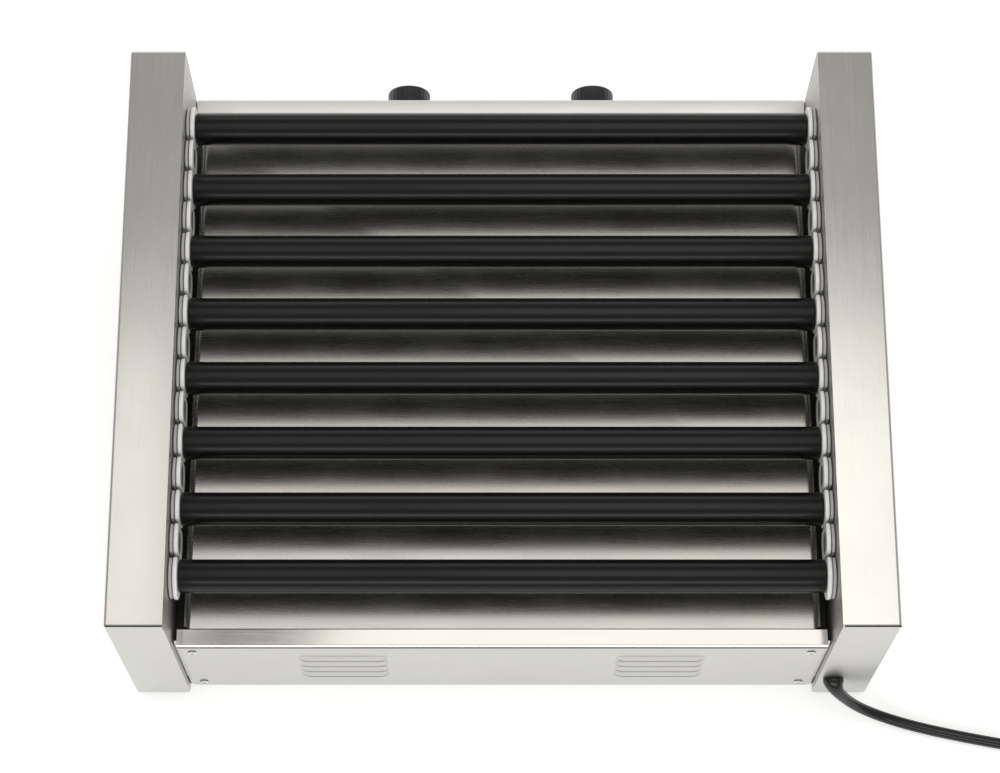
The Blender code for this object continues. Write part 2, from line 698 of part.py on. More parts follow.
def smooth_curve(points, start_heading, end_heading, per_span=16):
    """Points on one smooth curve through the given ones: a cubic spline with set headings at its ends."""
    points = np.array(points, float)
    knots = np.concatenate([[0.0], np.cumsum(np.linalg.norm(np.diff(points, axis=0), axis=1))])
    steps = np.diff(knots)
    count = len(points)
    matrix = np.eye(count)
    slopes = np.zeros((count, 3))
    slopes[0] = unit(start_heading)
    slopes[-1] = unit(end_heading)
    for k in range(1, count - 1):
        before, after = steps[k - 1], steps[k]
        matrix[k, k - 1 : k + 2] = (after, 2 * (before + after), before)
        rise_before = (points[k] - points[k - 1]) / before
        rise_after = (points[k + 1] - points[k]) / after
        slopes[k] = 3 * (after * rise_before + before * rise_after)
    slopes = np.linalg.solve(matrix, slopes)
    found = [points[0]]
    for k in range(count - 1):
        for t in np.arange(1, per_span + 1) / per_span:
            one = (2 * t**3 - 3 * t**2 + 1) * points[k] + (t**3 - 2 * t**2 + t) * steps[k] * slopes[k]
            two = (3 * t**2 - 2 * t**3) * points[k + 1] + (t**3 - t**2) * steps[k] * slopes[k + 1]
            found.append(one + two)
    return np.array(found)


def evenly(points, spacing, length=None):
    """Points at even spacing along a fine curve, up to the given length of it."""
    travelled = np.concatenate([[0.0], np.cumsum(np.linalg.norm(np.diff(points, axis=0), axis=1))])
    end = length or travelled[-1]
    wanted = np.linspace(0.0, end, max(2, round(end / spacing) + 1))
    return np.stack([np.interp(wanted, travelled, points[:, axis]) for axis in range(3)], axis=1)


def add_swept(bm, centres, headings, radii, sides):
    """A solid skinned over circles set square to their headings."""
    rings = []
    for centre, heading, radius in zip(centres, headings, radii, strict=True):
        turn = Vector((0.0, -1.0, 0.0)).rotation_difference(Vector(heading)).to_matrix()
        ring = []
        for angle in even_angles(sides):
            across = Vector((radius * math.cos(angle), 0.0, radius * math.sin(angle)))
            ring.append(Vector(centre) + turn @ across)
        rings.append(ring)
    add_loft(bm, rings, False)


def make_cord():
    """The lead leaves the back of the right housing, falls to the counter and runs off to a stored coil."""
    back = (0.0, -1.0, 0.0)
    heading = unit(CORD_START_HEADING)
    gland = bmesh.new()
    straight = [(BACK_Y + 0.0080, 0.0085), (BACK_Y + 0.0018, 0.0085), (BACK_Y + 0.0018, 0.0058)]
    straight += [(BACK_Y - 0.0004, 0.0058), (BACK_Y - 0.0004, 0.0090), (BACK_Y - 0.0022, 0.0086)]
    centres = [(GLAND_X, y, GLAND_Z) for y, radius in straight]
    radii = [radius for y, radius in straight]
    headings = [back] * len(straight)
    boot_start = (GLAND_X, BACK_Y - 0.0024, GLAND_Z)
    boot_end = Vector(CORD_ROUTE[0]) - Vector(heading) * 3 * GAP
    boot = evenly(smooth_curve([boot_start, boot_end], back, heading), 0.004)
    for k, point in enumerate(boot):
        share = k / (len(boot) - 1)
        centres.append(tuple(point))
        radii.append(0.0078 - 0.0027 * share)
        headings.append(tuple(unit((1 - share) * np.array(back) + share * heading)))
    add_swept(gland, centres, headings, radii, 12)
    place("cord_gland", gland, "rubber")

    turn = math.radians(COIL_ENTRY_HEADING)
    fine = smooth_curve(CORD_ROUTE, CORD_START_HEADING, (math.cos(turn), math.sin(turn), 0.0))
    whole = float(np.linalg.norm(np.diff(fine, axis=0), axis=1).sum())
    route = evenly(fine, 0.0150, whole - CORD_TO_COIL)
    curve = bpy.data.curves.new("cord", "CURVE")
    curve.dimensions = "3D"
    curve.bevel_depth = CORD_RADIUS
    curve.bevel_resolution = 2
    curve.use_fill_caps = True
    line = curve.splines.new("POLY")
    line.points.add(len(route) - 1)
    for spot, point in zip(line.points, route, strict=True):
        spot.co = (*point, 1.0)
    curve.materials.append(material("rubber"))
    bpy.context.scene.collection.objects.link(bpy.data.objects.new("cord", curve))

    entry = Vector(CORD_ROUTE[-1])
    centre = entry + COIL_ENTRY_RADIUS * Vector((-math.sin(turn), math.cos(turn), 0.0))
    stations = [
        (COIL_BOTTOM_Z, COIL_INNER_RADIUS),
        (COIL_BOTTOM_Z, COIL_OUTER_RADIUS),
        (COIL_TOP_Z, COIL_OUTER_RADIUS),
        (COIL_TOP_Z, COIL_INNER_RADIUS),
    ]
    place("cord_coil", turned("Z", (centre.x, centre.y), stations, 28, closed_loop=True), "rubber")
    make_plug(centre.x + PLUG_FROM_COIL[0], centre.y + PLUG_FROM_COIL[1], PLUG_Z)


def make_plug(x, y, z):
    """A moulded three-pin plug that lies beside the coil, with its lead end at y and its pins towards +Y."""
    body = bmesh.new()
    shapes = [(0.0, 0.0046, 0.0046), (0.018, 0.0056, 0.0056), (0.022, 0.0105, 0.0100)]
    shapes += [(0.032, 0.0125, 0.0114), (0.046, 0.0125, 0.0114)]
    rings = []
    for along, half_x, half_z in shapes:
        ring = []
        for angle in even_angles(16):
            across = math.copysign(abs(math.cos(angle)) ** 0.6, math.cos(angle))
            upward = math.copysign(abs(math.sin(angle)) ** 0.6, math.sin(angle))
            ring.append((x + half_x * across, y + along, z + half_z * upward))
        rings.append(ring)
    add_loft(body, rings, False)
    plug = place("plug", body, "rubber")
    pins = bmesh.new()
    for side in (-1, 1):
        pin_x = x + side * 0.00635
        add_box(pins, (pin_x - 0.00075, y + 0.044, z - 0.0010), (pin_x + 0.00075, y + 0.0620, z + 0.0053))
    add_turned(pins, "Y", (x, z - 0.0070), [(y + 0.044, 0.0024), (y + 0.0650, 0.0024)], even_angles(8))
    combine(plug, helper("plug_pins", pins), "UNION")


clear_scene()
make_rollers()
make_bushes()
make_blank_strips()
make_covers()
make_inner_walls()
make_rear_panel()
make_front_panel()
make_base_plate()
make_inner_deck()
make_feet()
make_drip_tray()
make_knobs()
make_thermostats()
make_switch()
make_screws()
make_heater_bank()
make_drive()
make_chain()
make_terminal_block()
make_cord()
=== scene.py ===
"""The looks of a hot dog roller grill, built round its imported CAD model. Metres, +Z up.

The back of the grill, with the louvres and the mains lead, faces -Y. The camera looks down on it from there.
"""

import math

import bmesh
import bpy
import numpy as np
from mathutils import Matrix, Vector


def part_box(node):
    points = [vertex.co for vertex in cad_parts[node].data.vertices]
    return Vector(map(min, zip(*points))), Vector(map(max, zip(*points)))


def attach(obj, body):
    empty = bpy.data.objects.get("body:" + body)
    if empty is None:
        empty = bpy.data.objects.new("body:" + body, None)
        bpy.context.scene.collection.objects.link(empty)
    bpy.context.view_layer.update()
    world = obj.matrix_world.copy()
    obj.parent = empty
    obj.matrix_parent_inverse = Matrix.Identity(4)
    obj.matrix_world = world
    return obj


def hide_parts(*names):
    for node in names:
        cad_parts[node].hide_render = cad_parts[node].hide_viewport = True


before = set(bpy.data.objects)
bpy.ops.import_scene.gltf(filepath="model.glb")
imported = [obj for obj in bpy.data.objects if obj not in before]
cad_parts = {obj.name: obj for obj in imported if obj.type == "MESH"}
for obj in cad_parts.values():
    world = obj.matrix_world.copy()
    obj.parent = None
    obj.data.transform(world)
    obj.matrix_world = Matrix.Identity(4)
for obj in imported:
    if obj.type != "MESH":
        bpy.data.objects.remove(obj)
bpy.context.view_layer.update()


def corners(node):
    low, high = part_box(node)
    return Vector(low), Vector(high)


def middle(node):
    low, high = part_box(node)
    return Vector([(a + b) / 2 for a, b in zip(low, high)])


# Places that the CAD model gives.
ROLLERS = 8
CONTROL_Z = middle("knob_left").z
ROLLER_AXES = [(middle(f"roller_{n + 1}").y, middle(f"roller_{n + 1}").z) for n in range(ROLLERS)]
AXIS_Z = ROLLER_AXES[0][1]
HOLE_PITCH = (ROLLER_AXES[-1][0] - ROLLER_AXES[0][0]) / (2 * (ROLLERS - 1))

SIDES = ((-1, "left"), (1, "right"))
SHEET = 0.0012
REACH = 0.004  # how far a cutting shape goes past the surface that it cuts
GLAND_SPOT = (0.2580, 0.054)
LOUVRE_Z = (0.0491, 0.0654, 0.0817, 0.0980)
LOUVRE_GROUP_X = 0.1210


# -------------------------------- camera and light


def make_camera():
    """A long lens, high above the back of the grill."""
    camera = bpy.data.objects.new("camera", bpy.data.cameras.new("camera"))
    camera.data.sensor_width = 36.0
    camera.data.lens = 98.31
    camera.data.shift_x = 0.0140
    camera.data.clip_end = 50.0
    camera.location = (-0.0120, -0.7381, 2.1306)
    camera.rotation_euler = (math.radians(19.579), 0.0, 0.0)
    bpy.context.scene.collection.objects.link(camera)
    bpy.context.scene.camera = camera


def area_light(name, place, target, size, power, colour=(1.0, 1.0, 1.0)):
    light = bpy.data.lights.new(name, "AREA")
    light.shape = "RECTANGLE"
    light.size, light.size_y = size
    light.energy = power
    light.color = colour
    made = bpy.data.objects.new(name, light)
    made.location = place
    made.rotation_euler = (Vector(target) - Vector(place)).to_track_quat("-Z", "Y").to_euler()
    bpy.context.scene.collection.objects.link(made)


def make_stage():
    """Two softboxes with a gap between them, a strip and a fill, over white paper that glows a little."""
    scene = bpy.context.scene
    scene.view_settings.view_transform = "Standard"
    world = bpy.data.worlds.new("studio")
    world.use_nodes = True
    background = world.node_tree.nodes["Background"]
    background.inputs["Color"].default_value = (1.0, 0.995, 0.985, 1.0)
    background.inputs["Strength"].default_value = 0.45
    scene.world = world
    warm = (1.0, 0.985, 0.955)
    # Each light's place, target, size and power.
    area_light("softbox_over", (0.59, 0.05, 2.90), (0.59, 0.05, 0.0), (1.82, 2.0), 14.7, warm)
    area_light("softbox_left", (-1.01, 0.05, 2.90), (-1.01, 0.05, 0.0), (0.90, 2.0), 5.6, warm)
    area_light("strip_back", (0.0, -1.9, 1.25), (0.0, 0.0, 0.1), (2.6, 0.5), 11.0)
    area_light("fill_front", (0.0, 2.4, 1.3), (0.0, 0.0, 0.1), (2.4, 0.8), 7.0)
    bm = bmesh.new()
    bmesh.ops.create_grid(bm, x_segments=1, y_segments=1, size=6.0)
    mesh = bpy.data.meshes.new("floor")
    bm.to_mesh(mesh)
    bm.free()
    floor = bpy.data.objects.new("floor", mesh)
    paper, _, shader = new_material("floor_paper", (0.93, 0.93, 0.925), 0.0, 0.9)
    shader.inputs["Emission Color"].default_value = (1.0, 1.0, 1.0, 1.0)
    shader.inputs["Emission Strength"].default_value = 0.45
    shader.inputs["Specular IOR Level"].default_value = 0.0
    floor.data.materials.append(paper)
    scene.collection.objects.link(floor)


# -------------------------------- materials


def new_material(name, colour, metallic, roughness):
    made = bpy.data.materials.new(name)
    made.use_nodes = True
    tree = made.node_tree
    shader = tree.nodes["Principled BSDF"]
    shader.inputs["Base Color"].default_value = (*colour, 1.0)
    shader.inputs["Metallic"].default_value = metallic
    shader.inputs["Roughness"].default_value = roughness
    return made, tree, shader


def noise(tree, scale, stretch=(1.0, 1.0, 1.0), detail=4.0, rough=0.55):
    """Noise in object space, with scale cycles to the metre, stretched along an axis by dividing it there."""
    coords = tree.nodes.new("ShaderNodeTexCoord")
    mapping = tree.nodes.new("ShaderNodeMapping")
    mapping.inputs["Scale"].default_value = [scale * s for s in stretch]
    texture = tree.nodes.new("ShaderNodeTexNoise")
    texture.inputs["Scale"].default_value = 1.0
    texture.inputs["Detail"].default_value = detail
    texture.inputs["Roughness"].default_value = rough
    tree.links.new(coords.outputs["Object"], mapping.inputs["Vector"])
    tree.links.new(mapping.outputs["Vector"], texture.inputs["Vector"])
    return texture.outputs["Fac"]


def spread(tree, value, low, high):
    """A noise value brought to the range from low to high."""
    ranged = tree.nodes.new("ShaderNodeMapRange")
    ranged.inputs["From Min"].default_value = 0.3
    ranged.inputs["From Max"].default_value = 0.7
    ranged.inputs["To Min"].default_value = low
    ranged.inputs["To Max"].default_value = high
    tree.links.new(value, ranged.inputs["Value"])
    return ranged.outputs["Result"]


def tinted(tree, value, dark, light):
    mix = tree.nodes.new("ShaderNodeMix")
    mix.data_type = "RGBA"
    mix.inputs[6].default_value = (*dark, 1.0)
    mix.inputs[7].default_value = (*light, 1.0)
    tree.links.new(spread(tree, value, 0.0, 1.0), mix.inputs["Factor"])
    return mix.outputs[2]


def bumped(tree, shader, value, distance, strength):
    bump = tree.nodes.new("ShaderNodeBump")
    bump.inputs["Strength"].default_value = strength
    bump.inputs["Distance"].default_value = distance
    tree.links.new(value, bump.inputs["Height"])
    tree.links.new(bump.outputs["Normal"], shader.inputs["Normal"])


def brushed(name, colour, roughness, grain_axis, bump=0.000012):
    """Stainless sheet with a fine rolled grain along one axis and faint handling marks."""
    made, tree, shader = new_material(name, colour, 1.0, roughness)
    stretch = [1.0, 1.0, 1.0]
    stretch["XYZ".index(grain_axis)] = 0.012
    grain = noise(tree, 1500.0, stretch, 3.0, 0.7)
    smudge = noise(tree, 14.0, detail=3.0)
    darker = tuple(c * 0.975 for c in colour)
    lighter = tuple(min(1.0, c * 1.02) for c in colour)
    tree.links.new(tinted(tree, grain, darker, lighter), shader.inputs["Base Color"])
    add = tree.nodes.new("ShaderNodeMath")
    add.operation = "ADD"
    tree.links.new(spread(tree, grain, roughness - 0.03, roughness + 0.03), add.inputs[0])
    tree.links.new(spread(tree, smudge, -0.02, 0.03), add.inputs[1])
    tree.links.new(add.outputs["Value"], shader.inputs["Roughness"])
    bumped(tree, shader, grain, bump, 0.35)
    return made


def speckled(name, colour, metallic, roughness, scale, bump, vary=0.06, shine=0.5, sheen=0.0):
    """A moulded, coated or cast surface: a fine grain in its colour, roughness and height."""
    made, tree, shader = new_material(name, colour, metallic, roughness)
    shader.inputs["Specular IOR Level"].default_value = shine
    fine = noise(tree, scale, detail=3.0)
    broad = noise(tree, scale / 40.0, detail=2.0)
    darker = tuple(c * (1.0 - vary) for c in colour)
    lighter = tuple(min(1.0, c * (1.0 + vary)) for c in colour)
    tree.links.new(tinted(tree, broad, darker, lighter), shader.inputs["Base Color"])
    tree.links.new(spread(tree, fine, roughness - 0.04, roughness + 0.05), shader.inputs["Roughness"])
    bumped(tree, shader, fine, bump, 0.6)
    shader.inputs["Sheen Weight"].default_value = sheen
    return made


def make_materials():
    """brushed takes a colour, roughness and grain axis; speckled a colour, metallic, roughness and grain."""
    return {
        "steel_y": brushed("steel_grain_y", (0.63, 0.62, 0.585), 0.24, "Y"),
        "steel_x": brushed("steel_grain_x", (0.55, 0.545, 0.52), 0.30, "X"),
        # Two darker copies of the grain-X steel for the louvres' lowest rows: painted shade, and a painted
        # shadow line under each hood's open edge
        "louvre_painted_shade": brushed("louvre_painted_shade", (0.44, 0.435, 0.42), 0.32, "X"),
        "louvre_painted_shadow_line": brushed("louvre_painted_shadow_line", (0.27, 0.265, 0.255), 0.36, "X"),
        "lip": brushed("lip_steel", (0.565, 0.55, 0.525), 0.10, "X", 0.000003),
        "control": brushed("control_steel", (0.80, 0.79, 0.76), 0.45, "X"),
        "tray": brushed("tray_steel", (0.46, 0.45, 0.425), 0.26, "X", 0.0000012),
        "wall": brushed("wall_steel", (0.60, 0.59, 0.565), 0.50, "Y"),
        # Near-black: painted shade, so that the slot between the tray and the walls reads black; the cover seam
        # strips use it too
        "deck": speckled("black_painted_shade", (0.030, 0.030, 0.030), 0.0, 0.5, 900.0, 0.00001, 0.1),
        "nonstick": speckled("nonstick_coating", (0.004, 0.004, 0.0039), 0.0, 0.26, 2600.0, 0.00001, 0.2, 0.28),
        "journal": speckled("journal_steel", (0.55, 0.54, 0.52), 1.0, 0.25, 900.0, 0.000005),
        "ptfe": speckled("ptfe", (0.97, 0.97, 0.96), 0.0, 0.36, 700.0, 0.000010, 0.01, 0.7),
        # The same PTFE darkened to grey: painted shade on the flange next to the wall
        "ptfe_painted_shade": speckled("ptfe_painted_shade", (0.55, 0.55, 0.54), 0.0, 0.40, 700.0, 0.000010, 0.04),
        "plug_disc": speckled("plug_disc", (0.16, 0.16, 0.155), 0.0, 0.45, 900.0, 0.000010, 0.08),
        "black_plastic": speckled("black_plastic", (0.012, 0.012, 0.0115), 0.0, 0.36, 1800.0, 0.000016, 0.15),
        "ink_white": speckled("ink_white", (0.82, 0.82, 0.80), 0.0, 0.55, 900.0, 0.000004, 0.03),
        "ink_black": speckled("ink_black", (0.03, 0.03, 0.03), 0.0, 0.6, 900.0, 0.000004, 0.08),
        "cord": speckled("cord_pvc", (0.006, 0.006, 0.0058), 0.0, 0.20, 1400.0, 0.000005, 0.12, 0.45),
        "rubber": speckled("foot_rubber", (0.022, 0.022, 0.022), 0.0, 0.72, 1100.0, 0.00003, 0.15, 0.5, 0.15),
        "screw": speckled("screw_plate", (0.72, 0.71, 0.69), 1.0, 0.20, 1200.0, 0.000004, 0.04),
        "brass": speckled("pin_nickel", (0.74, 0.70, 0.62), 1.0, 0.22, 1200.0, 0.000004, 0.04),
        "motor": speckled("motor_casing", (0.40, 0.41, 0.42), 1.0, 0.42, 500.0, 0.00002),
        "heater": speckled("heater_sheath", (0.30, 0.27, 0.23), 1.0, 0.45, 300.0, 0.00001, 0.15),
        "chain": speckled("chain_steel", (0.20, 0.19, 0.18), 1.0, 0.45, 700.0, 0.00002, 0.12),
        "terminal": speckled("terminal_plastic", (0.74, 0.72, 0.65), 0.0, 0.48, 900.0, 0.00001, 0.05),
    }


# -------------------------------- mesh tools

SHARP_ANGLE = 35.0


def shade(mesh, angle):
    """Smooth shading, with the edges that turn by more than angle degrees kept sharp."""
    mesh.shade_smooth()
    mesh.set_sharp_from_angle(angle=math.radians(angle))


def mesh_from(name, bm, materials, angle):
    """The finished mesh. bm's faces carry their index into materials."""
    bmesh.ops.recalc_face_normals(bm, faces=bm.faces[:])
    mesh = bpy.data.meshes.new(name)
    bm.to_mesh(mesh)
    bm.free()
    shade(mesh, angle)
    for each in materials:
        mesh.materials.append(each)
    return mesh


def piece(name, bm, materials, body, replaces=(), angle=SHARP_ANGLE):
    """A finished piece that rides on a body."""
    return put(name, mesh_from(name, bm, materials, angle), body, replaces)


def put(name, mesh, body, replaces=(), place=(0.0, 0.0, 0.0)):
    made = bpy.data.objects.new(name, mesh)
    made.location = place
    bpy.context.scene.collection.objects.link(made)
    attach(made, body)
    if replaces:
        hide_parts(*replaces)
    return made


def loft(bm, rings, closed=False, indices=None):
    """Skins rings of equal length, joined end to end or capped. indices gives each band's material index."""
    made = [[bm.verts.new(point) for point in ring] for ring in rings]
    pairs = list(zip(made, made[1:]))
    if closed:
        pairs.append((made[-1], made[0]))
    else:
        bm.faces.new(made[0][::-1]).material_index = indices[0] if indices else 0
        bm.faces.new(made[-1]).material_index = indices[-1] if indices else 0
    for band, (first, second) in enumerate(pairs):
        for k in range(len(first)):
            after = (k + 1) % len(first)
            face = bm.faces.new((first[k], first[after], second[after], second[k]))
            face.material_index = indices[band] if indices else 0


def circle(sides):
    return [2 * math.pi * k / sides for k in range(sides)]


def squared(value, power):
    """A sine or cosine pushed outwards, which squares off the outline that it draws."""
    return math.copysign(abs(value) ** power, value)


def ring(axis, centre, along, angles, radius):
    """A ring of points round a line parallel to axis. radius may be a function of the angle."""
    points = []
    for angle in angles:
        r = radius(angle) if callable(radius) else radius
        u, v = r * math.cos(angle), r * math.sin(angle)
        if axis == "X":
            points.append((along, centre[0] + u, centre[1] + v))
        elif axis == "Y":
            points.append((centre[0] + u, along, centre[1] + v))
        else:
            points.append((centre[0] + u, centre[1] + v, along))
    return points


def turn(bm, axis, centre, stations, angles, closed=False, indices=None):
    loft(bm, [ring(axis, centre, along, angles, radius) for along, radius in stations], closed, indices)


def box(bm, low, high, bevel=0.0, segments=2):
    size = Vector(high) - Vector(low)
    centre = (Vector(high) + Vector(low)) / 2
    place = Matrix.Translation(centre) @ Matrix.Diagonal((*size, 1.0))
    made = bmesh.ops.create_cube(bm, size=1.0, matrix=place)
    edges = list({edge for vert in made["verts"] for edge in vert.link_edges})
    if bevel:
        bmesh.ops.bevel(bm, geom=edges, offset=bevel, segments=segments, profile=0.5, affect="EDGES")


def cut(target, bm):
    """Takes the shape in bm out of a finished piece."""
    mesh = bpy.data.meshes.new("cutter")
    bmesh.ops.recalc_face_normals(bm, faces=bm.faces[:])
    bm.to_mesh(mesh)
    bm.free()
    cutter = bpy.data.objects.new("cutter", mesh)
    bpy.context.scene.collection.objects.link(cutter)
    step = target.modifiers.new("cut", "BOOLEAN")
    step.operation = "DIFFERENCE"
    step.solver = "EXACT"
    step.object = cutter
    apply_modifiers(target)
    bpy.data.objects.remove(cutter, do_unlink=True)


def apply_modifiers(target):
    graph = bpy.context.evaluated_depsgraph_get()
    graph.update()
    finished = bpy.data.meshes.new_from_object(target.evaluated_get(graph), depsgraph=graph)
    finished.name = target.name
    target.modifiers.clear()
    target.data = finished
    shade(finished, SHARP_ANGLE)


# -------------------------------- the casing


def make_covers(mats):
    """Folded side covers: grain along the length on top and outside, and across on the two end faces."""
    fold, gland_hole = 0.0024, 0.0064
    for side, word in SIDES:
        low, high = corners(f"{word}_cover")
        bm = bmesh.new()
        box(bm, low, high)
        gone = [f for f in bm.faces if f.normal.z < -0.5 or f.normal.x * side < -0.5]
        bmesh.ops.delete(bm, geom=gone, context="FACES")
        folds = [edge for edge in bm.edges if len(edge.link_faces) == 2]
        bmesh.ops.bevel(bm, geom=folds, offset=fold, segments=5, profile=0.5, affect="EDGES")
        for face in bm.faces:
            face.material_index = 1 if abs(face.normal.y) > 0.8 else 0
        grains = [mats["steel_y"], mats["steel_x"]]
        cover = piece(f"{word}_cover_shell", bm, grains, "frame", [f"{word}_cover"])
        if sum(face.normal.z * face.area for face in cover.data.polygons) < 0:
            cover.data.flip_normals()
        wall = cover.modifiers.new("sheet", "SOLIDIFY")
        wall.thickness = SHEET
        wall.offset = -1.0
        wall.use_even_offset = True
        apply_modifiers(cover)
        make_seam_shadow(mats, word, low, high)
        round_corner(cover, low.x if side > 0 else high.x, side, low, high)
        if side > 0:
            hole = bmesh.new()
            turn(hole, "Y", GLAND_SPOT, [(low.y + past, gland_hole) for past in (-REACH, REACH)], circle(28))
            cut(cover, hole)


def round_corner(cover, inner_x, side, low, high):
    """Rounds the lower inner corners of a cover's two end faces."""
    radius, past = 0.0040, 0.0010
    turned_by = [math.radians(90.0 * k / 6) for k in range(7)]
    x, z = inner_x + side * radius, low.z + radius
    edge = [(x - side * radius * math.sin(a), z - radius * math.cos(a)) for a in turned_by]
    edge += [(inner_x - side * past, z), (inner_x - side * past, low.z - past), (x, low.z - past)]
    cutter = bmesh.new()
    loft(cutter, [[(u, y, v) for u, v in edge] for y in (low.y - past, high.y + past)])
    cut(cover, cutter)


def make_seam_shadow(mats, word, low, high):
    """A near-black strip in the fold between a cover's top and its back face: a painted shadow line."""
    bm = bmesh.new()
    edge = [(0.0001, 0.0009), (0.0001, 0.0005), (0.0005, 0.0001), (0.0010, 0.0001), (0.0016, 0.0016)]
    ends = (low.x + SHEET, high.x - 0.0002)
    loft(bm, [[(x, low.y + inward, high.z - down) for inward, down in edge] for x in ends])
    # Near-black strip: a painted shadow line along the fold
    piece(f"{word}_cover_seam_shadow_strip", bm, [mats["deck"]], "frame", ())


def panel_ring(x, profile, corner, half_x, low_z):
    """A panel's section at x, whose lower edge rises round the corner near the panel's ends."""
    past = abs(x) - (half_x - corner)
    lift = corner - math.sqrt(max(0.0, corner**2 - past**2)) if past > 0 else 0.0
    return [(x, y, low_z + lift if z is None else z) for y, z in profile]


def arc(centre, radius, start, end, steps):
    points = []
    for k in range(steps + 1):
        angle = math.radians(start + (end - start) * k / steps)
        points.append((centre[0] + radius * math.cos(angle), centre[1] + radius * math.sin(angle)))
    return points


def along_panel(half_x, corner):
    inner = [half_x - corner + corner * math.sin(math.radians(a)) for a in (0, 18, 36, 54, 72, 90)]
    return [-x for x in inner[::-1]] + inner


def make_rear_panel(mats):
    """The louvred back: a folded sheet with rounded lower corners and two groups of pressed hoods."""
    low, high = corners("rear_panel")
    face_y, top = low.y, high.z
    fold, corner = 0.0022, 0.006
    half_x = high.x - 0.0004
    profile = [(face_y, None)]
    profile += arc((face_y + fold, top - fold), fold, 180, 90, 5)
    profile += [(high.y, top), (high.y, top - SHEET)]
    profile += arc((face_y + fold, top - fold), fold - SHEET, 90, 180, 3)
    profile += [(face_y + SHEET, None)]
    bm = bmesh.new()
    loft(bm, [panel_ring(x, profile, corner, half_x, low.z) for x in along_panel(half_x, corner)])
    panel = piece("rear_panel_sheet", bm, [mats["steel_x"]], "frame", ["rear_panel"])
    slots = bmesh.new()
    half, rise = 0.0300, 0.0016
    for middle_x, z in louvre_spots():
        outline = []
        for angle in circle(32):
            across = half * squared(math.cos(angle), 0.25)
            outline.append((middle_x + across, z + rise + rise * math.sin(angle)))
        loft(slots, [[(x, y, h) for x, h in outline] for y in (face_y - REACH, face_y + REACH)])
    cut(panel, slots)
    notch_x, notch_drop, past = 0.2405, 0.0040, 0.001
    for side in (-1, 1):
        notch = bmesh.new()
        ends = sorted((side * notch_x, side * (high.x + past)))
        box(notch, (ends[0], face_y + 0.0014, top - notch_drop), (ends[1], high.y + past, top + past))
        cut(panel, notch)
    make_louvres(mats, face_y)


def louvre_spots():
    return [(x, z) for x in (-LOUVRE_GROUP_X, LOUVRE_GROUP_X) for z in LOUVRE_Z]


def make_louvres(mats, face_y):
    """Each louvre is a long low hood, blended into the sheet above and at its ends and open below. Its lowest
    rows carry painted shade: a mid-dark steel, then a dark painted shadow line along the open edge.
    """
    thick = 0.0007
    bm = bmesh.new()
    for middle_x, z in louvre_spots():
        # Row six takes the mid-dark painted shade and the last two rows take the dark painted shadow line
        skin(bm, [hood(middle_x, face_y + inset, z) for inset in (0.0, thick)], (0, 0, 0, 0, 0, 1, 2, 2))
    shades = [mats["steel_x"], mats["louvre_painted_shade"], mats["louvre_painted_shadow_line"]]
    piece("rear_louvres", bm, shades, "frame", (), 50.0)


def hood(middle_x, sheet_y, low_z):
    """A grid of points over one louvre, from the sheet above it down to its open edge."""
    half, height, stand = 0.0337, 0.0058, 0.0026
    rounded_end, clear, rows, columns = 0.26, 0.00005, 8, 40
    grid = []
    for down in [v / rows for v in range(rows + 1)]:
        row = []
        for u in range(columns + 1):
            across = math.sin(math.pi * (u / columns - 0.5))
            end = math.sqrt(1.0 - (1.0 - min(1.0, (1.0 - abs(across)) / rounded_end)) ** 2)
            out = stand * end * math.sin(down * math.pi / 2) ** 1.3 + clear
            up = height * (1.0 - down * (0.35 + 0.65 * end))
            row.append((middle_x + half * across, sheet_y - out, low_z + up))
        grid.append(row)
    return grid


def skin(bm, shells, indices):
    """Two equal grids of points made into one closed sheet, with a material index for each row of faces."""
    outer, inner = ([[bm.verts.new(point) for point in row] for row in grid] for grid in shells)
    rows, columns = len(outer), len(outer[0])
    for r in range(rows - 1):
        for c in range(columns - 1):
            face = bm.faces.new((outer[r][c], outer[r][c + 1], outer[r + 1][c + 1], outer[r + 1][c]))
            face.material_index = indices[r]
            bm.faces.new((inner[r][c], inner[r + 1][c], inner[r + 1][c + 1], inner[r][c + 1]))
    for r in range(rows - 1):
        bm.faces.new((outer[r][0], outer[r + 1][0], inner[r + 1][0], inner[r][0]))
        bm.faces.new((outer[r][-1], inner[r][-1], inner[r + 1][-1], outer[r + 1][-1]))
    for c in range(columns - 1):
        bm.faces.new((outer[0][c], inner[0][c], inner[0][c + 1], outer[0][c + 1]))
        bm.faces.new((outer[-1][c], outer[-1][c + 1], inner[-1][c + 1], inner[-1][c]))


def make_front_panel(mats):
    """The control panel, whose folded top ledge falls a little towards the tray, and its knobs' dials."""
    low, high = corners("front_panel")
    fold, fall, lip, corner = 0.0020, 0.0012, 0.0045, 0.004
    lip_y, top, face_y = low.y, high.z, high.y
    profile = [(face_y, None)]
    profile += arc((face_y - fold, top - fold), fold, 0, 90, 5)
    profile += arc((lip_y + fold, top - fall - fold), fold, 90, 180, 5)
    profile += [(lip_y, top - lip), (lip_y + SHEET, top - lip)]
    profile += arc((lip_y + fold, top - fall - fold), fold - SHEET, 180, 90, 3)
    profile += arc((face_y - fold, top - fold), fold - SHEET, 90, 0, 3)
    profile += [(face_y - SHEET, None)]
    bm = bmesh.new()
    loft(bm, [panel_ring(x, profile, corner, high.x, low.z) for x in along_panel(high.x, corner)])
    panel = piece("front_panel_sheet", bm, [mats["control"]], "frame", ["front_panel"])
    opening = bmesh.new()
    half_w, half_h, shaft_hole = 0.0103, 0.0078, 0.005
    near, far = face_y - REACH, face_y + REACH
    box(opening, (-half_w, near, CONTROL_Z - half_h), (half_w, far, CONTROL_Z + half_h))
    for _, word in SIDES:
        spot = middle(f"knob_{word}")
        turn(opening, "Y", (spot.x, spot.z), [(near, shaft_hole), (far, shaft_hole)], circle(24))
    cut(panel, opening)
    make_dials(mats, face_y)


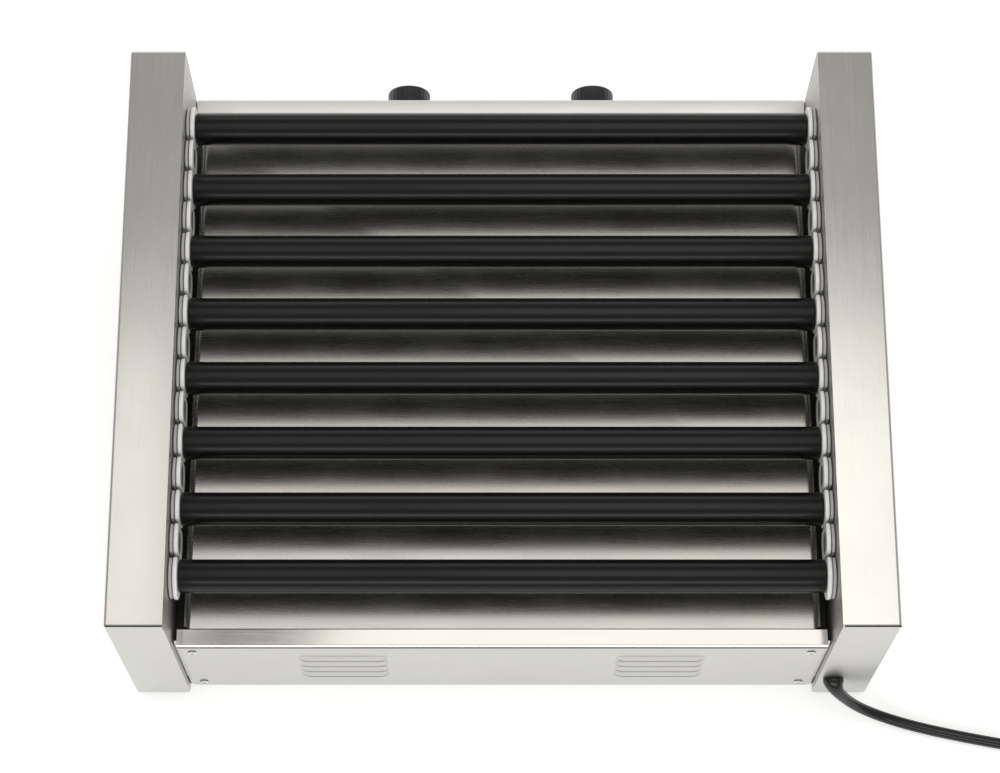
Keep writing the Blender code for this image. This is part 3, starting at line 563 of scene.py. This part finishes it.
def make_dials(mats, face_y):
    """Printed heat marks round each knob: bars that grow from off to full."""
    radius, half_width, half_thick, clear = 0.0195, 0.0005, 0.00005, 0.00008
    for _, word in SIDES:
        centre = middle(f"knob_{word}")
        bm = bmesh.new()
        for k in range(11):
            angle = math.radians(-60 + 300 * (1 - k / 10))
            length = 0.0018 + 0.00022 * k
            mark = bmesh.new()
            box(mark, (-half_width, -half_thick, radius), (half_width, half_thick, radius + length))
            turned_by = Matrix.Rotation(angle - math.pi / 2, 4, "Y")
            mark.transform(Matrix.Translation((centre.x, face_y + clear, centre.z)) @ turned_by)
            add_mesh(bm, mark)
        piece(f"dial_marks_{word}", bm, [mats["ink_black"]], "frame", ())


def add_mesh(target, source):
    mesh = bpy.data.meshes.new("part")
    source.to_mesh(mesh)
    source.free()
    target.from_mesh(mesh)
    bpy.data.meshes.remove(mesh)


# -------------------------------- rollers and bushes


def make_rollers(mats):
    """Coated tubes with rounded ends, on bright turned journals with a sprocket on the right one."""
    half, radius, journal, bore, chamfer = 0.2386, 0.0125, 0.0080, 0.0052, 0.0004
    left_x, right_x, sprocket_x = -0.2556, 0.2680, 0.2635
    ends = [(half, journal), (half, radius - 0.0016), (half - 0.0002, radius - 0.0008)]
    ends += [(half - 0.0006, radius - 0.0002), (half - 0.0012, radius)]
    stations = [(left_x, journal - chamfer), (left_x + chamfer, journal)]
    stations += [(-x, r) for x, r in ends] + ends[::-1]
    stations += [(right_x - chamfer, journal), (right_x, journal - chamfer), (right_x, bore), (left_x, bore)]
    coat, steel = 0, 1
    bm = bmesh.new()
    turn(bm, "X", (0.0, 0.0), stations, circle(56), True, [steel] * 2 + [coat] * 9 + [steel] * 5)
    tube = mesh_from("roller_tube", bm, [mats["nonstick"], mats["journal"]], 40.0)
    sprocket = sprocket_mesh("roller_sprocket", 8, 0.0081, mats["chain"])
    for n, (y, z) in enumerate(ROLLER_AXES):
        body = f"roller_{n + 1}"
        put(f"roller_tube_{n + 1}", tube, body, [body], (0.0, y, z))
        put(f"roller_sprocket_{n + 1}", sprocket, body, (), (sprocket_x, y, z))


def sprocket_mesh(name, teeth, bore, material):
    """A roller-chain sprocket's plate: round seats for the chain's rollers between narrow teeth."""
    chain_pitch, half_thick, full_width = 0.009525, 0.0014, 0.0009
    pitch_radius = chain_pitch / (2 * math.sin(math.pi / teeth))
    tip, root = pitch_radius + 0.0017, pitch_radius - 0.0030

    def radius_at(angle):
        wave = 0.5 + 0.5 * math.cos(teeth * angle)
        return root + (tip - root) * wave**1.3

    def bevelled(angle):
        return radius_at(angle) - 0.0004

    stations = [(-half_thick, bore), (-half_thick, bevelled), (-full_width, radius_at)]
    stations += [(full_width, radius_at), (half_thick, bevelled), (half_thick, bore)]
    bm = bmesh.new()
    turn(bm, "X", (0.0, 0.0), stations, circle(12 * teeth), True)
    return mesh_from(name, bm, [material], 40.0)


FLANGE_FACE_X = 0.2390
BUSH_BODY = 0.0096
# The second index takes the grey PTFE: painted shade on the flange next to the wall and the body behind it
PTFE, PTFE_SHADE, DISC = 0, 1, 2  # indices into a bush's or a plug's materials
FLANGE_BANDS = [PTFE] * 7 + [PTFE_SHADE] * 7


def flange(radius, flat, flat_sides):
    """A disc cut straight where it faces a neighbour, with its corners rounded: its radius by angle."""
    power = 26.0

    def radius_at(angle):
        across = math.cos(angle)
        if (across > 0 and 1 in flat_sides) or (across < 0 and -1 in flat_sides):
            limit = flat / max(abs(across), 0.05)
            return (radius**-power + limit**-power) ** (-1.0 / power)
        return radius

    return radius_at


def flange_stack(side, flat_sides):
    """Stations of the two white flanges of a bush or a plug, from the roller's end to the wall."""

    def first(inset):
        return flange(0.0173 - inset, 0.0116 - inset, flat_sides)

    def second(inset):
        return flange(0.0173 - 0.0008 - inset, 0.0113 - inset, flat_sides)

    groove = 0.0098
    steps = [(0.2390, first(0.0006)), (0.2392, first(0.0002)), (0.2396, first(0.0))]
    steps += [(0.2414, first(0.0)), (0.2418, first(0.0002)), (0.2420, first(0.0006))]
    steps += [(0.2421, groove), (0.2428, groove)]
    steps += [(0.2429, second(0.0005)), (0.2432, second(0.0)), (0.2447, second(0.0))]
    steps += [(0.2450, second(0.0005)), (0.2451, groove), (0.2452, BUSH_BODY)]
    return [(side * x, r) for x, r in steps]


def make_bushes(mats):
    """White PTFE bearing bushes with two flanges in front of the wall; the flange next to the wall is darkened
    to grey as painted shade.
    """
    bore, back_x = 0.0083, 0.2505
    whites = [mats["ptfe"], mats["ptfe_painted_shade"]]
    for side, word in SIDES:
        for n, (y, z) in enumerate(ROLLER_AXES):
            flat_sides = [s for s in (-1, 1) if 0 <= 2 * n + s <= 2 * ROLLERS - 2]
            stations = [(side * FLANGE_FACE_X, bore)] + flange_stack(side, flat_sides)
            stations += [(side * back_x, BUSH_BODY), (side * back_x, bore)]
            bm = bmesh.new()
            turn(bm, "X", (y, z), stations, circle(44), True, [PTFE] + FLANGE_BANDS + [PTFE] * 3)
            node = f"bearing_bush_{word}_{n + 1}"
            piece(f"ptfe_bush_{word}_{n + 1}", bm, whites, "frame", [node])


def make_blanks(mats):
    """Plugs of the same outline, with a grey disc set in their faces, joined by a strip behind the wall."""
    shades = [mats["ptfe"], mats["ptfe_painted_shade"], mats["plug_disc"]]
    for side, word in SIDES:
        recess = [(0.2402, 0.0001), (0.2402, 0.0080), (0.2392, 0.0084), (FLANGE_FACE_X, 0.0088)]
        back = [(0.2508, BUSH_BODY), (0.2508, 0.0118), (0.2512, 0.0120), (0.2526, 0.0118)]
        recess, back = ([(side * x, r) for x, r in steps] for steps in (recess, back))
        stations = recess + flange_stack(side, (-1, 1)) + back
        bands = [DISC] * 2 + [PTFE] * 2 + FLANGE_BANDS + [PTFE] * 5
        bm = bmesh.new()
        for n in range(ROLLERS - 1):
            y = ROLLER_AXES[0][0] + HOLE_PITCH * (2 * n + 1)
            turn(bm, "X", (y, AXIS_Z), stations, circle(44), False, bands[: len(stations) - 1])
        ys = (ROLLER_AXES[0][0] + HOLE_PITCH, ROLLER_AXES[-1][0] - HOLE_PITCH)
        xs = sorted((side * 0.2511, side * 0.2523))
        box(bm, (xs[0], ys[0], AXIS_Z - 0.0150), (xs[1], ys[1], AXIS_Z - 0.0087), 0.0003)
        piece(f"blank_plugs_{word}", bm, shades, "frame", [f"blank_strip_{word}"])


# -------------------------------- the drip tray

TRAY_SHEET = 0.0009
TRAY_FOOT = 0.0030  # radius of the fold between the floor and a wall
TRAY_ROLL = 0.0021  # how far the rolled rim stands out from a wall


def make_tray(mats):
    """A polished pan with rolled rims; its back edge folds over the top of the rear panel as a lip."""
    low, high = corners("drip_tray")
    floor_z, back_y = low.z + 0.0010, -0.2262
    half, corner, inset = 0.2370, 0.012, TRAY_FOOT + TRAY_ROLL
    section = tray_wall(high.z - floor_z - 0.0010)
    path = rim_path(half - inset, back_y + TRAY_SHEET, high.y - inset, corner)
    bm = bmesh.new()
    made = []
    for x, y, out_x, out_y in path:
        made.append([bm.verts.new((x + out_x * d, y + out_y * d, floor_z + h)) for d, h in section])
    for first, second in zip(made, made[1:]):
        for k in range(len(section) - 1):
            bm.faces.new((first[k], first[k + 1], second[k + 1], second[k]))
    bm.faces.new([row[0] for row in made])
    bm.faces.new([row[-1] for row in made][::-1])
    bm.faces.new(made[0][::-1])
    bm.faces.new(made[-1])
    bm.faces.new((made[0][0], made[-1][0], made[-1][-1], made[0][-1]))
    piece("drip_tray_pan", bm, [mats["tray"]], "drip_tray", ["drip_tray"], 40.0)
    make_lip(mats, floor_z, back_y)


def tray_wall(top):
    """The wall's section, as distances out and up: a rounded foot, a rolled rim and back down outside."""
    foot, roll, sheet = TRAY_FOOT, TRAY_ROLL, TRAY_SHEET
    section = [(0.0, 0.0)]
    section += [(foot * math.sin(a), foot * (1 - math.cos(a))) for a in np.radians((15, 35, 55, 75, 90))]
    section += [(foot, top), (foot + 0.0004, top + 0.0006), (foot + 0.0011, top + 0.0010)]
    section += [(foot + 0.0018, top + 0.0007), (foot + roll, top), (foot + 0.0018, top - 0.0007)]
    section += [(foot + sheet, top - 0.0010), (foot + sheet, foot)]
    outer = foot + sheet
    section += [(outer * math.cos(a), outer * (1 - math.sin(a)) - sheet) for a in np.radians((25, 50, 75))]
    return section + [(0.0, -sheet)]


def rim_path(half_x, back_y, front_y, corner):
    """Points and outward directions along the inside foot of the pan's three walls."""
    path = [(-half_x, back_y, -1.0, 0.0), (-half_x, back_y + 0.1, -1.0, 0.0)]
    path += [(-half_x, front_y - corner, -1.0, 0.0)]
    for k in range(1, 7):
        a = math.radians(180 - 15 * k)
        x = -half_x + corner + corner * math.cos(a)
        path.append((x, front_y - corner + corner * math.sin(a), math.cos(a), math.sin(a)))
    for x, y, out_x, out_y in path[::-1]:
        path.append((-x, y, -out_x, out_y))
    return path


def make_lip(mats, floor_z, back_y):
    """The lip over the rear panel: a flat top, then a narrow slope down to its front edge."""
    half, top = 0.2425, floor_z + 0.0021
    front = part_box("drip_tray")[0][1]
    thick, bottom = TRAY_SHEET, floor_z - TRAY_SHEET
    fold, slope_y = 0.0004, front + 0.0024
    profile = [(back_y, bottom), (back_y, top - 0.0003), (back_y - 0.0003, top)]
    profile += [(slope_y + fold, top), (slope_y, top - 0.0001), (slope_y - 0.0003, top - 0.0003)]
    profile += [(front + 0.0003, top - 0.0018), (front, top - 0.0021), (front, bottom)]
    profile += [(front + thick, bottom), (front + thick, top - 0.0022), (slope_y, top - thick - 0.0002)]
    profile += [(back_y - thick, top - thick), (back_y - thick, bottom)]
    bm = bmesh.new()
    loft(bm, [[(x, y, z) for y, z in profile] for x in (-half, -half + fold, half - fold, half)])
    piece("drip_tray_lip", bm, [mats["lip"]], "drip_tray", (), 25.0)


# -------------------------------- controls, screws and feet


def make_knobs(mats):
    """Plain round knobs with a skirt, fine flutes and a white line."""
    foot_y, flutes, flute_depth, line_half = 0.2225, 30, 0.00035, 0.0007
    for _, word in SIDES:
        node = f"knob_{word}"
        low, high = corners(node)
        centre = middle(node)
        outer = (high.x - low.x) / 2

        def fluted(angle):
            return outer - flute_depth * (0.5 + 0.5 * math.cos(flutes * angle)) ** 2

        skirt = [(0.0010, outer - 0.0030), (0.0, outer - 0.0026), (0.0, outer - 0.0006)]
        skirt += [(0.0004, outer - 0.0002), (0.0024, outer - 0.0002)]
        skirt += [(0.0028, outer - 0.0007), (0.0032, outer - 0.0007)]
        grip = [(0.0036, fluted), (0.0168, fluted), (0.0178, outer - 0.0006)]
        face = [(0.0002, outer - 0.0012), (0.0, outer - 0.0020), (0.0006, outer - 0.0030)]
        face += [(0.0010, 0.0060), (0.0010, 0.0002)]
        stations = [(low.y, 0.0028), (foot_y + 0.0010, 0.0030)]
        stations += [(foot_y + out, r) for out, r in skirt + grip] + [(high.y - back, r) for back, r in face]
        bm = bmesh.new()
        turn(bm, "Y", (centre.x, centre.z), stations, circle(120))
        piece(f"knob_cap_{word}", bm, [mats["black_plastic"]], node, [node])
        line_low = (centre.x - line_half, high.y - 0.0013, centre.z + 0.0030)
        line_high = (centre.x + line_half, high.y - 0.0008, centre.z + 0.0105)
        line = bmesh.new()
        box(line, line_low, line_high, 0.0001)
        piece(f"knob_line_{word}", line, [mats["ink_white"]], node, ())


def make_switch(mats):
    """A rocker switch in its bezel, with the two usual marks."""
    low, high = corners("switch_housing")
    mid_z = middle("switch_housing").z
    pivot = Vector((0.0, 0.2185, mid_z))
    well_half_w, well_half_h, well_floor = 0.0082, 0.0063, 0.2110
    can_half_w, can_half_h, rocker_half_w = 0.0100, 0.0075, 0.0078
    black = [mats["black_plastic"]]
    bm = bmesh.new()
    box(bm, (low.x, high.y - 0.0022, low.z), (high.x, high.y, high.z), 0.0007, 3)
    bezel = piece("switch_bezel", bm, black, "frame", ["switch_housing"])
    bm = bmesh.new()
    box(bm, (-can_half_w, low.y, mid_z - can_half_h), (can_half_w, high.y - 0.0024, mid_z + can_half_h), 0.0005)
    can = piece("switch_can", bm, black, "frame", ())
    for target, near in ((bezel, high.y - 0.010), (can, well_floor)):
        well = bmesh.new()
        well_low = (-well_half_w, near, mid_z - well_half_h)
        box(well, well_low, (well_half_w, high.y + REACH, mid_z + well_half_h))
        cut(target, well)
    outline = [(-0.004, -0.0035), (0.0046, -0.0050), (0.0052, -0.0046), (0.0043, -0.0010)]
    outline += [(0.0042, 0.0010), (0.0052, 0.0046), (0.0046, 0.0050), (-0.004, 0.0035)]
    ends = (-rocker_half_w, rocker_half_w)
    rocker = bmesh.new()
    loft(rocker, [[(x, pivot.y + out, mid_z + up) for out, up in outline] for x in ends])
    marks = bmesh.new()
    box(marks, (-0.0004, pivot.y + 0.0044, mid_z + 0.0022), (0.0004, pivot.y + 0.0052, mid_z + 0.0040))
    dot = [(pivot.y + out, 0.0011) for out in (0.0042, 0.0051)]
    turn(marks, "Y", (0.0, mid_z - 0.0030), dot, circle(20))
    tilt = Matrix.Rotation(math.radians(-10), 3, "X")
    for shape in (rocker, marks):
        bmesh.ops.rotate(shape, verts=shape.verts[:], cent=pivot, matrix=tilt)
    piece("switch_rocker_cap", rocker, black, "switch_rocker", ["switch_rocker"])
    piece("switch_marks", marks, [mats["ink_white"]], "switch_rocker", ())


def screw_mesh(mats):
    """A pan-head screw along +Z with a cross recess, its head's seat at the origin."""
    bm = bmesh.new()
    stations = [(-0.0048, 0.0012), (-0.0044, 0.0015), (0.0, 0.0015), (0.0, 0.0034), (0.0004, 0.0035)]
    stations += [(0.0008, 0.0033), (0.0011, 0.0026), (0.00125, 0.0015)]
    turn(bm, "Z", (0.0, 0.0), stations, circle(32))
    screw = piece("screw_master", bm, [mats["screw"]], "frame")
    arm, half_width = 0.0019, 0.00035
    for x, y in ((arm, half_width), (half_width, arm)):
        cross = bmesh.new()
        box(cross, (-x, -y, 0.0004), (x, y, 0.0020))
        cut(screw, cross)
    mesh = screw.data
    bpy.data.objects.remove(screw, do_unlink=True)
    return mesh


def make_screws(mats):
    """Four screws in the rear panel, each turned its own way, and one in the outside of each cover."""
    mesh = screw_mesh(mats)
    rear_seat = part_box("rear_panel")[0][1] - 0.0003
    cover_seat = 0.28870
    for _, word in SIDES:
        for level in ("lower", "upper"):
            node = f"rear_screw_{word}_{level}"
            spot = middle(node)
            made = put(f"back_{word}_{level}_screw", mesh, "frame", [node])
            place = Matrix.Translation((spot.x, rear_seat, spot.z)) @ Matrix.Rotation(math.radians(90), 4, "X")
            made.matrix_world = place @ Matrix.Rotation(spot.x * 9.0, 4, "Z")
    for side, word in SIDES:
        node = f"cover_screw_{word}"
        spot = middle(node)
        made = put(f"side_{word}_screw", mesh, "frame", [node])
        place = Matrix.Translation((side * cover_seat, spot.y, spot.z))
        made.matrix_world = place @ Matrix.Rotation(side * math.pi / 2, 4, "Y")


def make_feet(mats):
    """Moulded rubber feet with a recessed middle."""
    stations = [(0.0030, 0.0001), (0.0030, 0.0040), (0.0004, 0.0046), (0.0, 0.0052), (0.0, 0.0096)]
    stations += [(0.0006, 0.0105), (0.0020, 0.0112), (0.0090, 0.0123), (0.0096, 0.0120), (0.0097, 0.0024)]
    stations += [(0.0150, 0.0024)]
    for word in ("back_left", "back_right", "front_left", "front_right"):
        low, _ = corners(f"foot_{word}")
        centre = middle(f"foot_{word}")
        bm = bmesh.new()
        turn(bm, "Z", (centre.x, centre.y), [(low.z + z, r) for z, r in stations], circle(40))
        piece(f"rubber_foot_{word}", bm, [mats["rubber"]], "frame", [f"foot_{word}"])


# -------------------------------- the mains lead

CORD_RADIUS = 0.0044
CORD_ROUTE = (
    (0.2656, -0.2511, 0.0420),
    (0.2786, -0.2552, 0.0251),
    (0.3020, -0.2612, 0.0106),
    (0.3235, -0.2667, 0.0062),
    (0.3450, -0.2716, 0.0048),
    (0.3660, -0.2760, 0.0046),
    (0.3930, -0.2811, 0.0046),
    (0.4260, -0.2868, 0.0046),
    (0.4600, -0.2922, 0.0046),
)
CORD_START_HEADING = (0.50, -0.20, -0.84)
COIL_ENTRY_HEADING = -9.0  # degrees from +X
COIL_ENTRY_RADIUS = 0.0530
TURN_PITCH = 0.0089
LAYER_RISE = 0.0088
TURNS_INWARD = 2.0


def unit(vector):
    return np.array(vector, float) / np.linalg.norm(vector)


def smooth_curve(points, start_heading, end_heading, per_span=16):
    """Points on one smooth curve through the given ones: a cubic spline with set headings at its ends."""
    points = np.array(points, float)
    knots = np.concatenate([[0.0], np.cumsum(np.linalg.norm(np.diff(points, axis=0), axis=1))])
    steps = np.diff(knots)
    count = len(points)
    matrix = np.eye(count)
    slopes = np.zeros((count, 3))
    slopes[0] = unit(start_heading)
    slopes[-1] = unit(end_heading)
    for k in range(1, count - 1):
        before, after = steps[k - 1], steps[k]
        matrix[k, k - 1 : k + 2] = (after, 2 * (before + after), before)
        rise_before = (points[k] - points[k - 1]) / before
        rise_after = (points[k + 1] - points[k]) / after
        slopes[k] = 3 * (after * rise_before + before * rise_after)
    slopes = np.linalg.solve(matrix, slopes)
    found = [points[0]]
    for k in range(count - 1):
        for t in np.arange(1, per_span + 1) / per_span:
            one = (2 * t**3 - 3 * t**2 + 1) * points[k] + (t**3 - 2 * t**2 + t) * steps[k] * slopes[k]
            two = (3 * t**2 - 2 * t**3) * points[k + 1] + (t**3 - t**2) * steps[k] * slopes[k + 1]
            found.append(one + two)
    return np.array(found)


def evenly(points, spacing):
    """The same line in steps of nearly the spacing."""
    travelled = np.concatenate([[0.0], np.cumsum(np.linalg.norm(np.diff(points, axis=0), axis=1))])
    wanted = np.linspace(0.0, travelled[-1], round(travelled[-1] / spacing) + 1)
    return np.stack([np.interp(wanted, travelled, points[:, axis]) for axis in range(3)], axis=1)


def coil_points(entry, heading):
    """The coil's turns: inward on the floor, a step up, then outward on top, to leave it heading +Y."""
    angle = math.radians(heading)
    centre = np.array(entry) + COIL_ENTRY_RADIUS * np.array((-math.sin(angle), math.cos(angle), 0.0))
    start = angle - math.pi / 2
    turns = 4 - start / (2 * math.pi)
    points = []
    count = round(turns * 40)
    for k in range(1, count + 1):
        done = turns * k / count
        inward = min(done, TURNS_INWARD)
        outward = max(0.0, done - TURNS_INWARD)
        radius = COIL_ENTRY_RADIUS - TURN_PITCH * inward + TURN_PITCH * outward
        climb = min(1.0, max(0.0, (done - TURNS_INWARD + 0.20) / 0.30))
        height = entry[2] + LAYER_RISE * climb**2 * (3 - 2 * climb)
        turned = start + 2 * math.pi * done
        out = (radius * math.cos(turned), radius * math.sin(turned), height - centre[2])
        points.append(centre + np.array(out))
    return np.array(points), centre


def swept(bm, centres, headings, radii, angles):
    """A solid skinned over rings set square to their headings."""
    rings = []
    for centre, heading, radius in zip(centres, headings, radii, strict=True):
        about = Vector((0.0, -1.0, 0.0)).rotation_difference(Vector(heading)).to_matrix()
        flat = [Vector((radius * math.cos(a), 0.0, radius * math.sin(a))) for a in angles]
        rings.append([Vector(centre) + about @ point for point in flat])
    loft(bm, rings)


def make_cord(mats):
    """The whole lead is one curve: from the strain relief to the floor, away, round its coil, to the plug."""
    turn_heading = math.radians(COIL_ENTRY_HEADING)
    end_heading = (math.cos(turn_heading), math.sin(turn_heading), 0.0)
    route = evenly(smooth_curve(CORD_ROUTE, CORD_START_HEADING, end_heading), 0.004)
    turns, centre = coil_points(CORD_ROUTE[-1], COIL_ENTRY_HEADING)
    plug_low, plug_high = corners("plug")
    plug_x = (plug_low.x + plug_high.x) / 2
    last = turns[-1]
    tail = [last + (np.array((plug_x, plug_low.y + 0.004, last[2])) - last) * k / 6 for k in range(1, 7)]
    points = np.concatenate([route, turns, np.array(tail)])
    curve = bpy.data.curves.new("mains_cord", "CURVE")
    curve.dimensions = "3D"
    curve.bevel_depth = CORD_RADIUS
    curve.bevel_resolution = 4
    curve.use_fill_caps = True
    line = curve.splines.new("POLY")
    line.points.add(len(points) - 1)
    for spot, point in zip(line.points, points, strict=True):
        spot.co = (*point, 1.0)
    curve.materials.append(mats["cord"])
    cord = bpy.data.objects.new("mains_cord", curve)
    bpy.context.scene.collection.objects.link(cord)
    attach(cord, "frame")
    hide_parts("cord", "cord_coil")
    gland = make_gland(mats)
    plug = make_plug(mats)
    ties = make_ties(mats, centre)


def make_gland(mats):
    """The moulded strain relief: a bush in the housing's hole and a boot that narrows to the cord."""
    back = (0.0, -1.0, 0.0)
    heading = unit(CORD_START_HEADING)
    straight = [(-0.2330, 0.0082), (-0.2336, 0.0085), (-0.2388, 0.0085), (-0.2392, 0.0058), (-0.2413, 0.0058)]
    straight += [(-0.2413, 0.0078), (-0.2415, 0.0080), (-0.2422, 0.0081), (-0.2428, 0.0081)]
    centres = [(GLAND_SPOT[0], y, GLAND_SPOT[1]) for y, _ in straight]
    radii = [radius for _, radius in straight]
    headings = [back] * len(straight)
    start = (GLAND_SPOT[0], -0.2436, GLAND_SPOT[1])
    end = np.array(CORD_ROUTE[0]) + heading * 0.0010
    boot = evenly(smooth_curve([start, end], back, heading), 0.0008)
    for k, point in enumerate(boot):
        share = k / (len(boot) - 1)
        centres.append(tuple(point))
        radii.append(0.0047 + 0.0033 * (1 - share) ** 2.2)
        headings.append(tuple(unit((1 - share) * np.array(back) + share * heading)))
    bm = bmesh.new()
    swept(bm, centres, headings, radii, circle(32))
    return piece("strain_relief", bm, [mats["cord"]], "frame", ["cord_gland"], 30.0)


def make_plug(mats):
    """A moulded three-pin plug with a ribbed tail and a finger grip, lying beside the coil."""
    low, high = corners("plug")
    x, y, z = (low.x + high.x) / 2, low.y, CORD_ROUTE[-1][2] + LAYER_RISE
    shape = [(0.0002, CORD_RADIUS, 1.0)]  # along it, half its width, and how round it is
    for k in range(14):
        groove = 0.0004 if k % 2 else 0.0
        shape.append((0.0010 + 0.0012 * k, 0.0046 + 0.00009 * k - groove, 1.0))
    shape += [(0.0190, 0.0062, 0.9), (0.0205, 0.0088, 0.8), (0.0225, 0.0106, 0.75), (0.0260, 0.0116, 0.7)]
    shape += [(0.0300, 0.0121, 0.68), (0.0350, 0.0118, 0.66), (0.0400, 0.0121, 0.64), (0.0446, 0.0124, 0.62)]
    shape += [(0.0457, 0.0119, 0.62), (0.0460, 0.0110, 0.62)]
    rings = []
    for along, half, power in shape:
        flatten = 0.915 if half > 0.009 else 1.0
        ring_points = []
        for angle in circle(48):
            u = squared(math.cos(angle), power) * half
            v = squared(math.sin(angle), power) * half * flatten
            ring_points.append((x + u, y + along, z + v))
        rings.append(ring_points)
    bm = bmesh.new()
    loft(bm, rings)
    plug = piece("mains_plug", bm, [mats["cord"]], "frame", ["plug"], 35.0)
    pins = bmesh.new()
    pin_gap, pin_half, root_y = 0.00635, 0.00075, y + 0.0450
    for pin_x in (x - pin_gap, x + pin_gap):
        box(pins, (pin_x - pin_half, root_y, z - 0.0010), (pin_x + pin_half, y + 0.0620, z + 0.0053), 0.0003)
    earth_pin = [(root_y, 0.0024), (y + 0.0630, 0.0024), (y + 0.0645, 0.0018), (y + 0.0650, 0.0008)]
    turn(pins, "Y", (x, z - 0.0070), earth_pin, circle(24))
    blades = piece("plug_pins", pins, [mats["brass"]], "frame", ())
    blades.parent = plug
    blades.matrix_parent_inverse = plug.matrix_world.inverted()
    return plug


def make_ties(mats, centre):
    """Two twist ties round the coil's bundle of turns."""
    mid = COIL_ENTRY_RADIUS - TURN_PITCH * TURNS_INWARD / 2 + 0.0006
    half_w, half_h, mid_z, half_tie, thick, roundness = 0.0146, 0.0087, 0.0091, 0.002, 0.0005, 0.45
    section = ((-half_tie, 0.0), (-half_tie, thick), (half_tie, thick), (half_tie, 0.0))
    ties = []
    for n, angle in enumerate((60.0, 215.0)):
        a = math.radians(angle)
        out = np.array((math.cos(a), math.sin(a), 0.0))
        along = np.array((-math.sin(a), math.cos(a), 0.0))
        bundle = np.array((centre[0], centre[1], 0.0)) + out * mid
        rings = []
        for b in circle(36):
            u, v = squared(math.cos(b), roundness), squared(math.sin(b), roundness)
            ring_points = []
            for across, grow in section:
                flat = bundle + out * u * (half_w + grow) + along * across
                ring_points.append((flat[0], flat[1], max(0.0003, mid_z + v * (half_h + grow))))
            rings.append(ring_points)
        bm = bmesh.new()
        loft(bm, rings, True)
        ties.append(piece(f"coil_tie_{n + 1}", bm, [mats["black_plastic"]], "frame", ()))
    return ties


# -------------------------------- pieces kept from the CAD model


def dress_nodes(mats):
    """Pieces whose CAD shape is right get their material here."""
    # The inner deck takes the near-black painted shade, which darkens the slot beside the tray
    looks = {
        "left_inner_wall": "wall", "right_inner_wall": "wall", "base_plate": "steel_x", "inner_deck": "deck",
        "heater_bank": "heater", "gear_motor": "motor", "drive_sprocket": "chain", "drive_chain": "chain",
        "terminal_block": "terminal", "thermostat_left": "terminal", "thermostat_right": "terminal",
    }
    for node, look in looks.items():
        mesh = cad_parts[node].data
        mesh.materials.clear()
        mesh.materials.append(mats[look])


make_camera()
make_stage()
MATS = make_materials()
make_cord(MATS)
make_covers(MATS)
make_rear_panel(MATS)
make_front_panel(MATS)
make_rollers(MATS)
make_bushes(MATS)
make_blanks(MATS)
make_tray(MATS)
make_knobs(MATS)
make_switch(MATS)
make_screws(MATS)
make_feet(MATS)
dress_nodes(MATS)

bpy.context.view_layer.update()
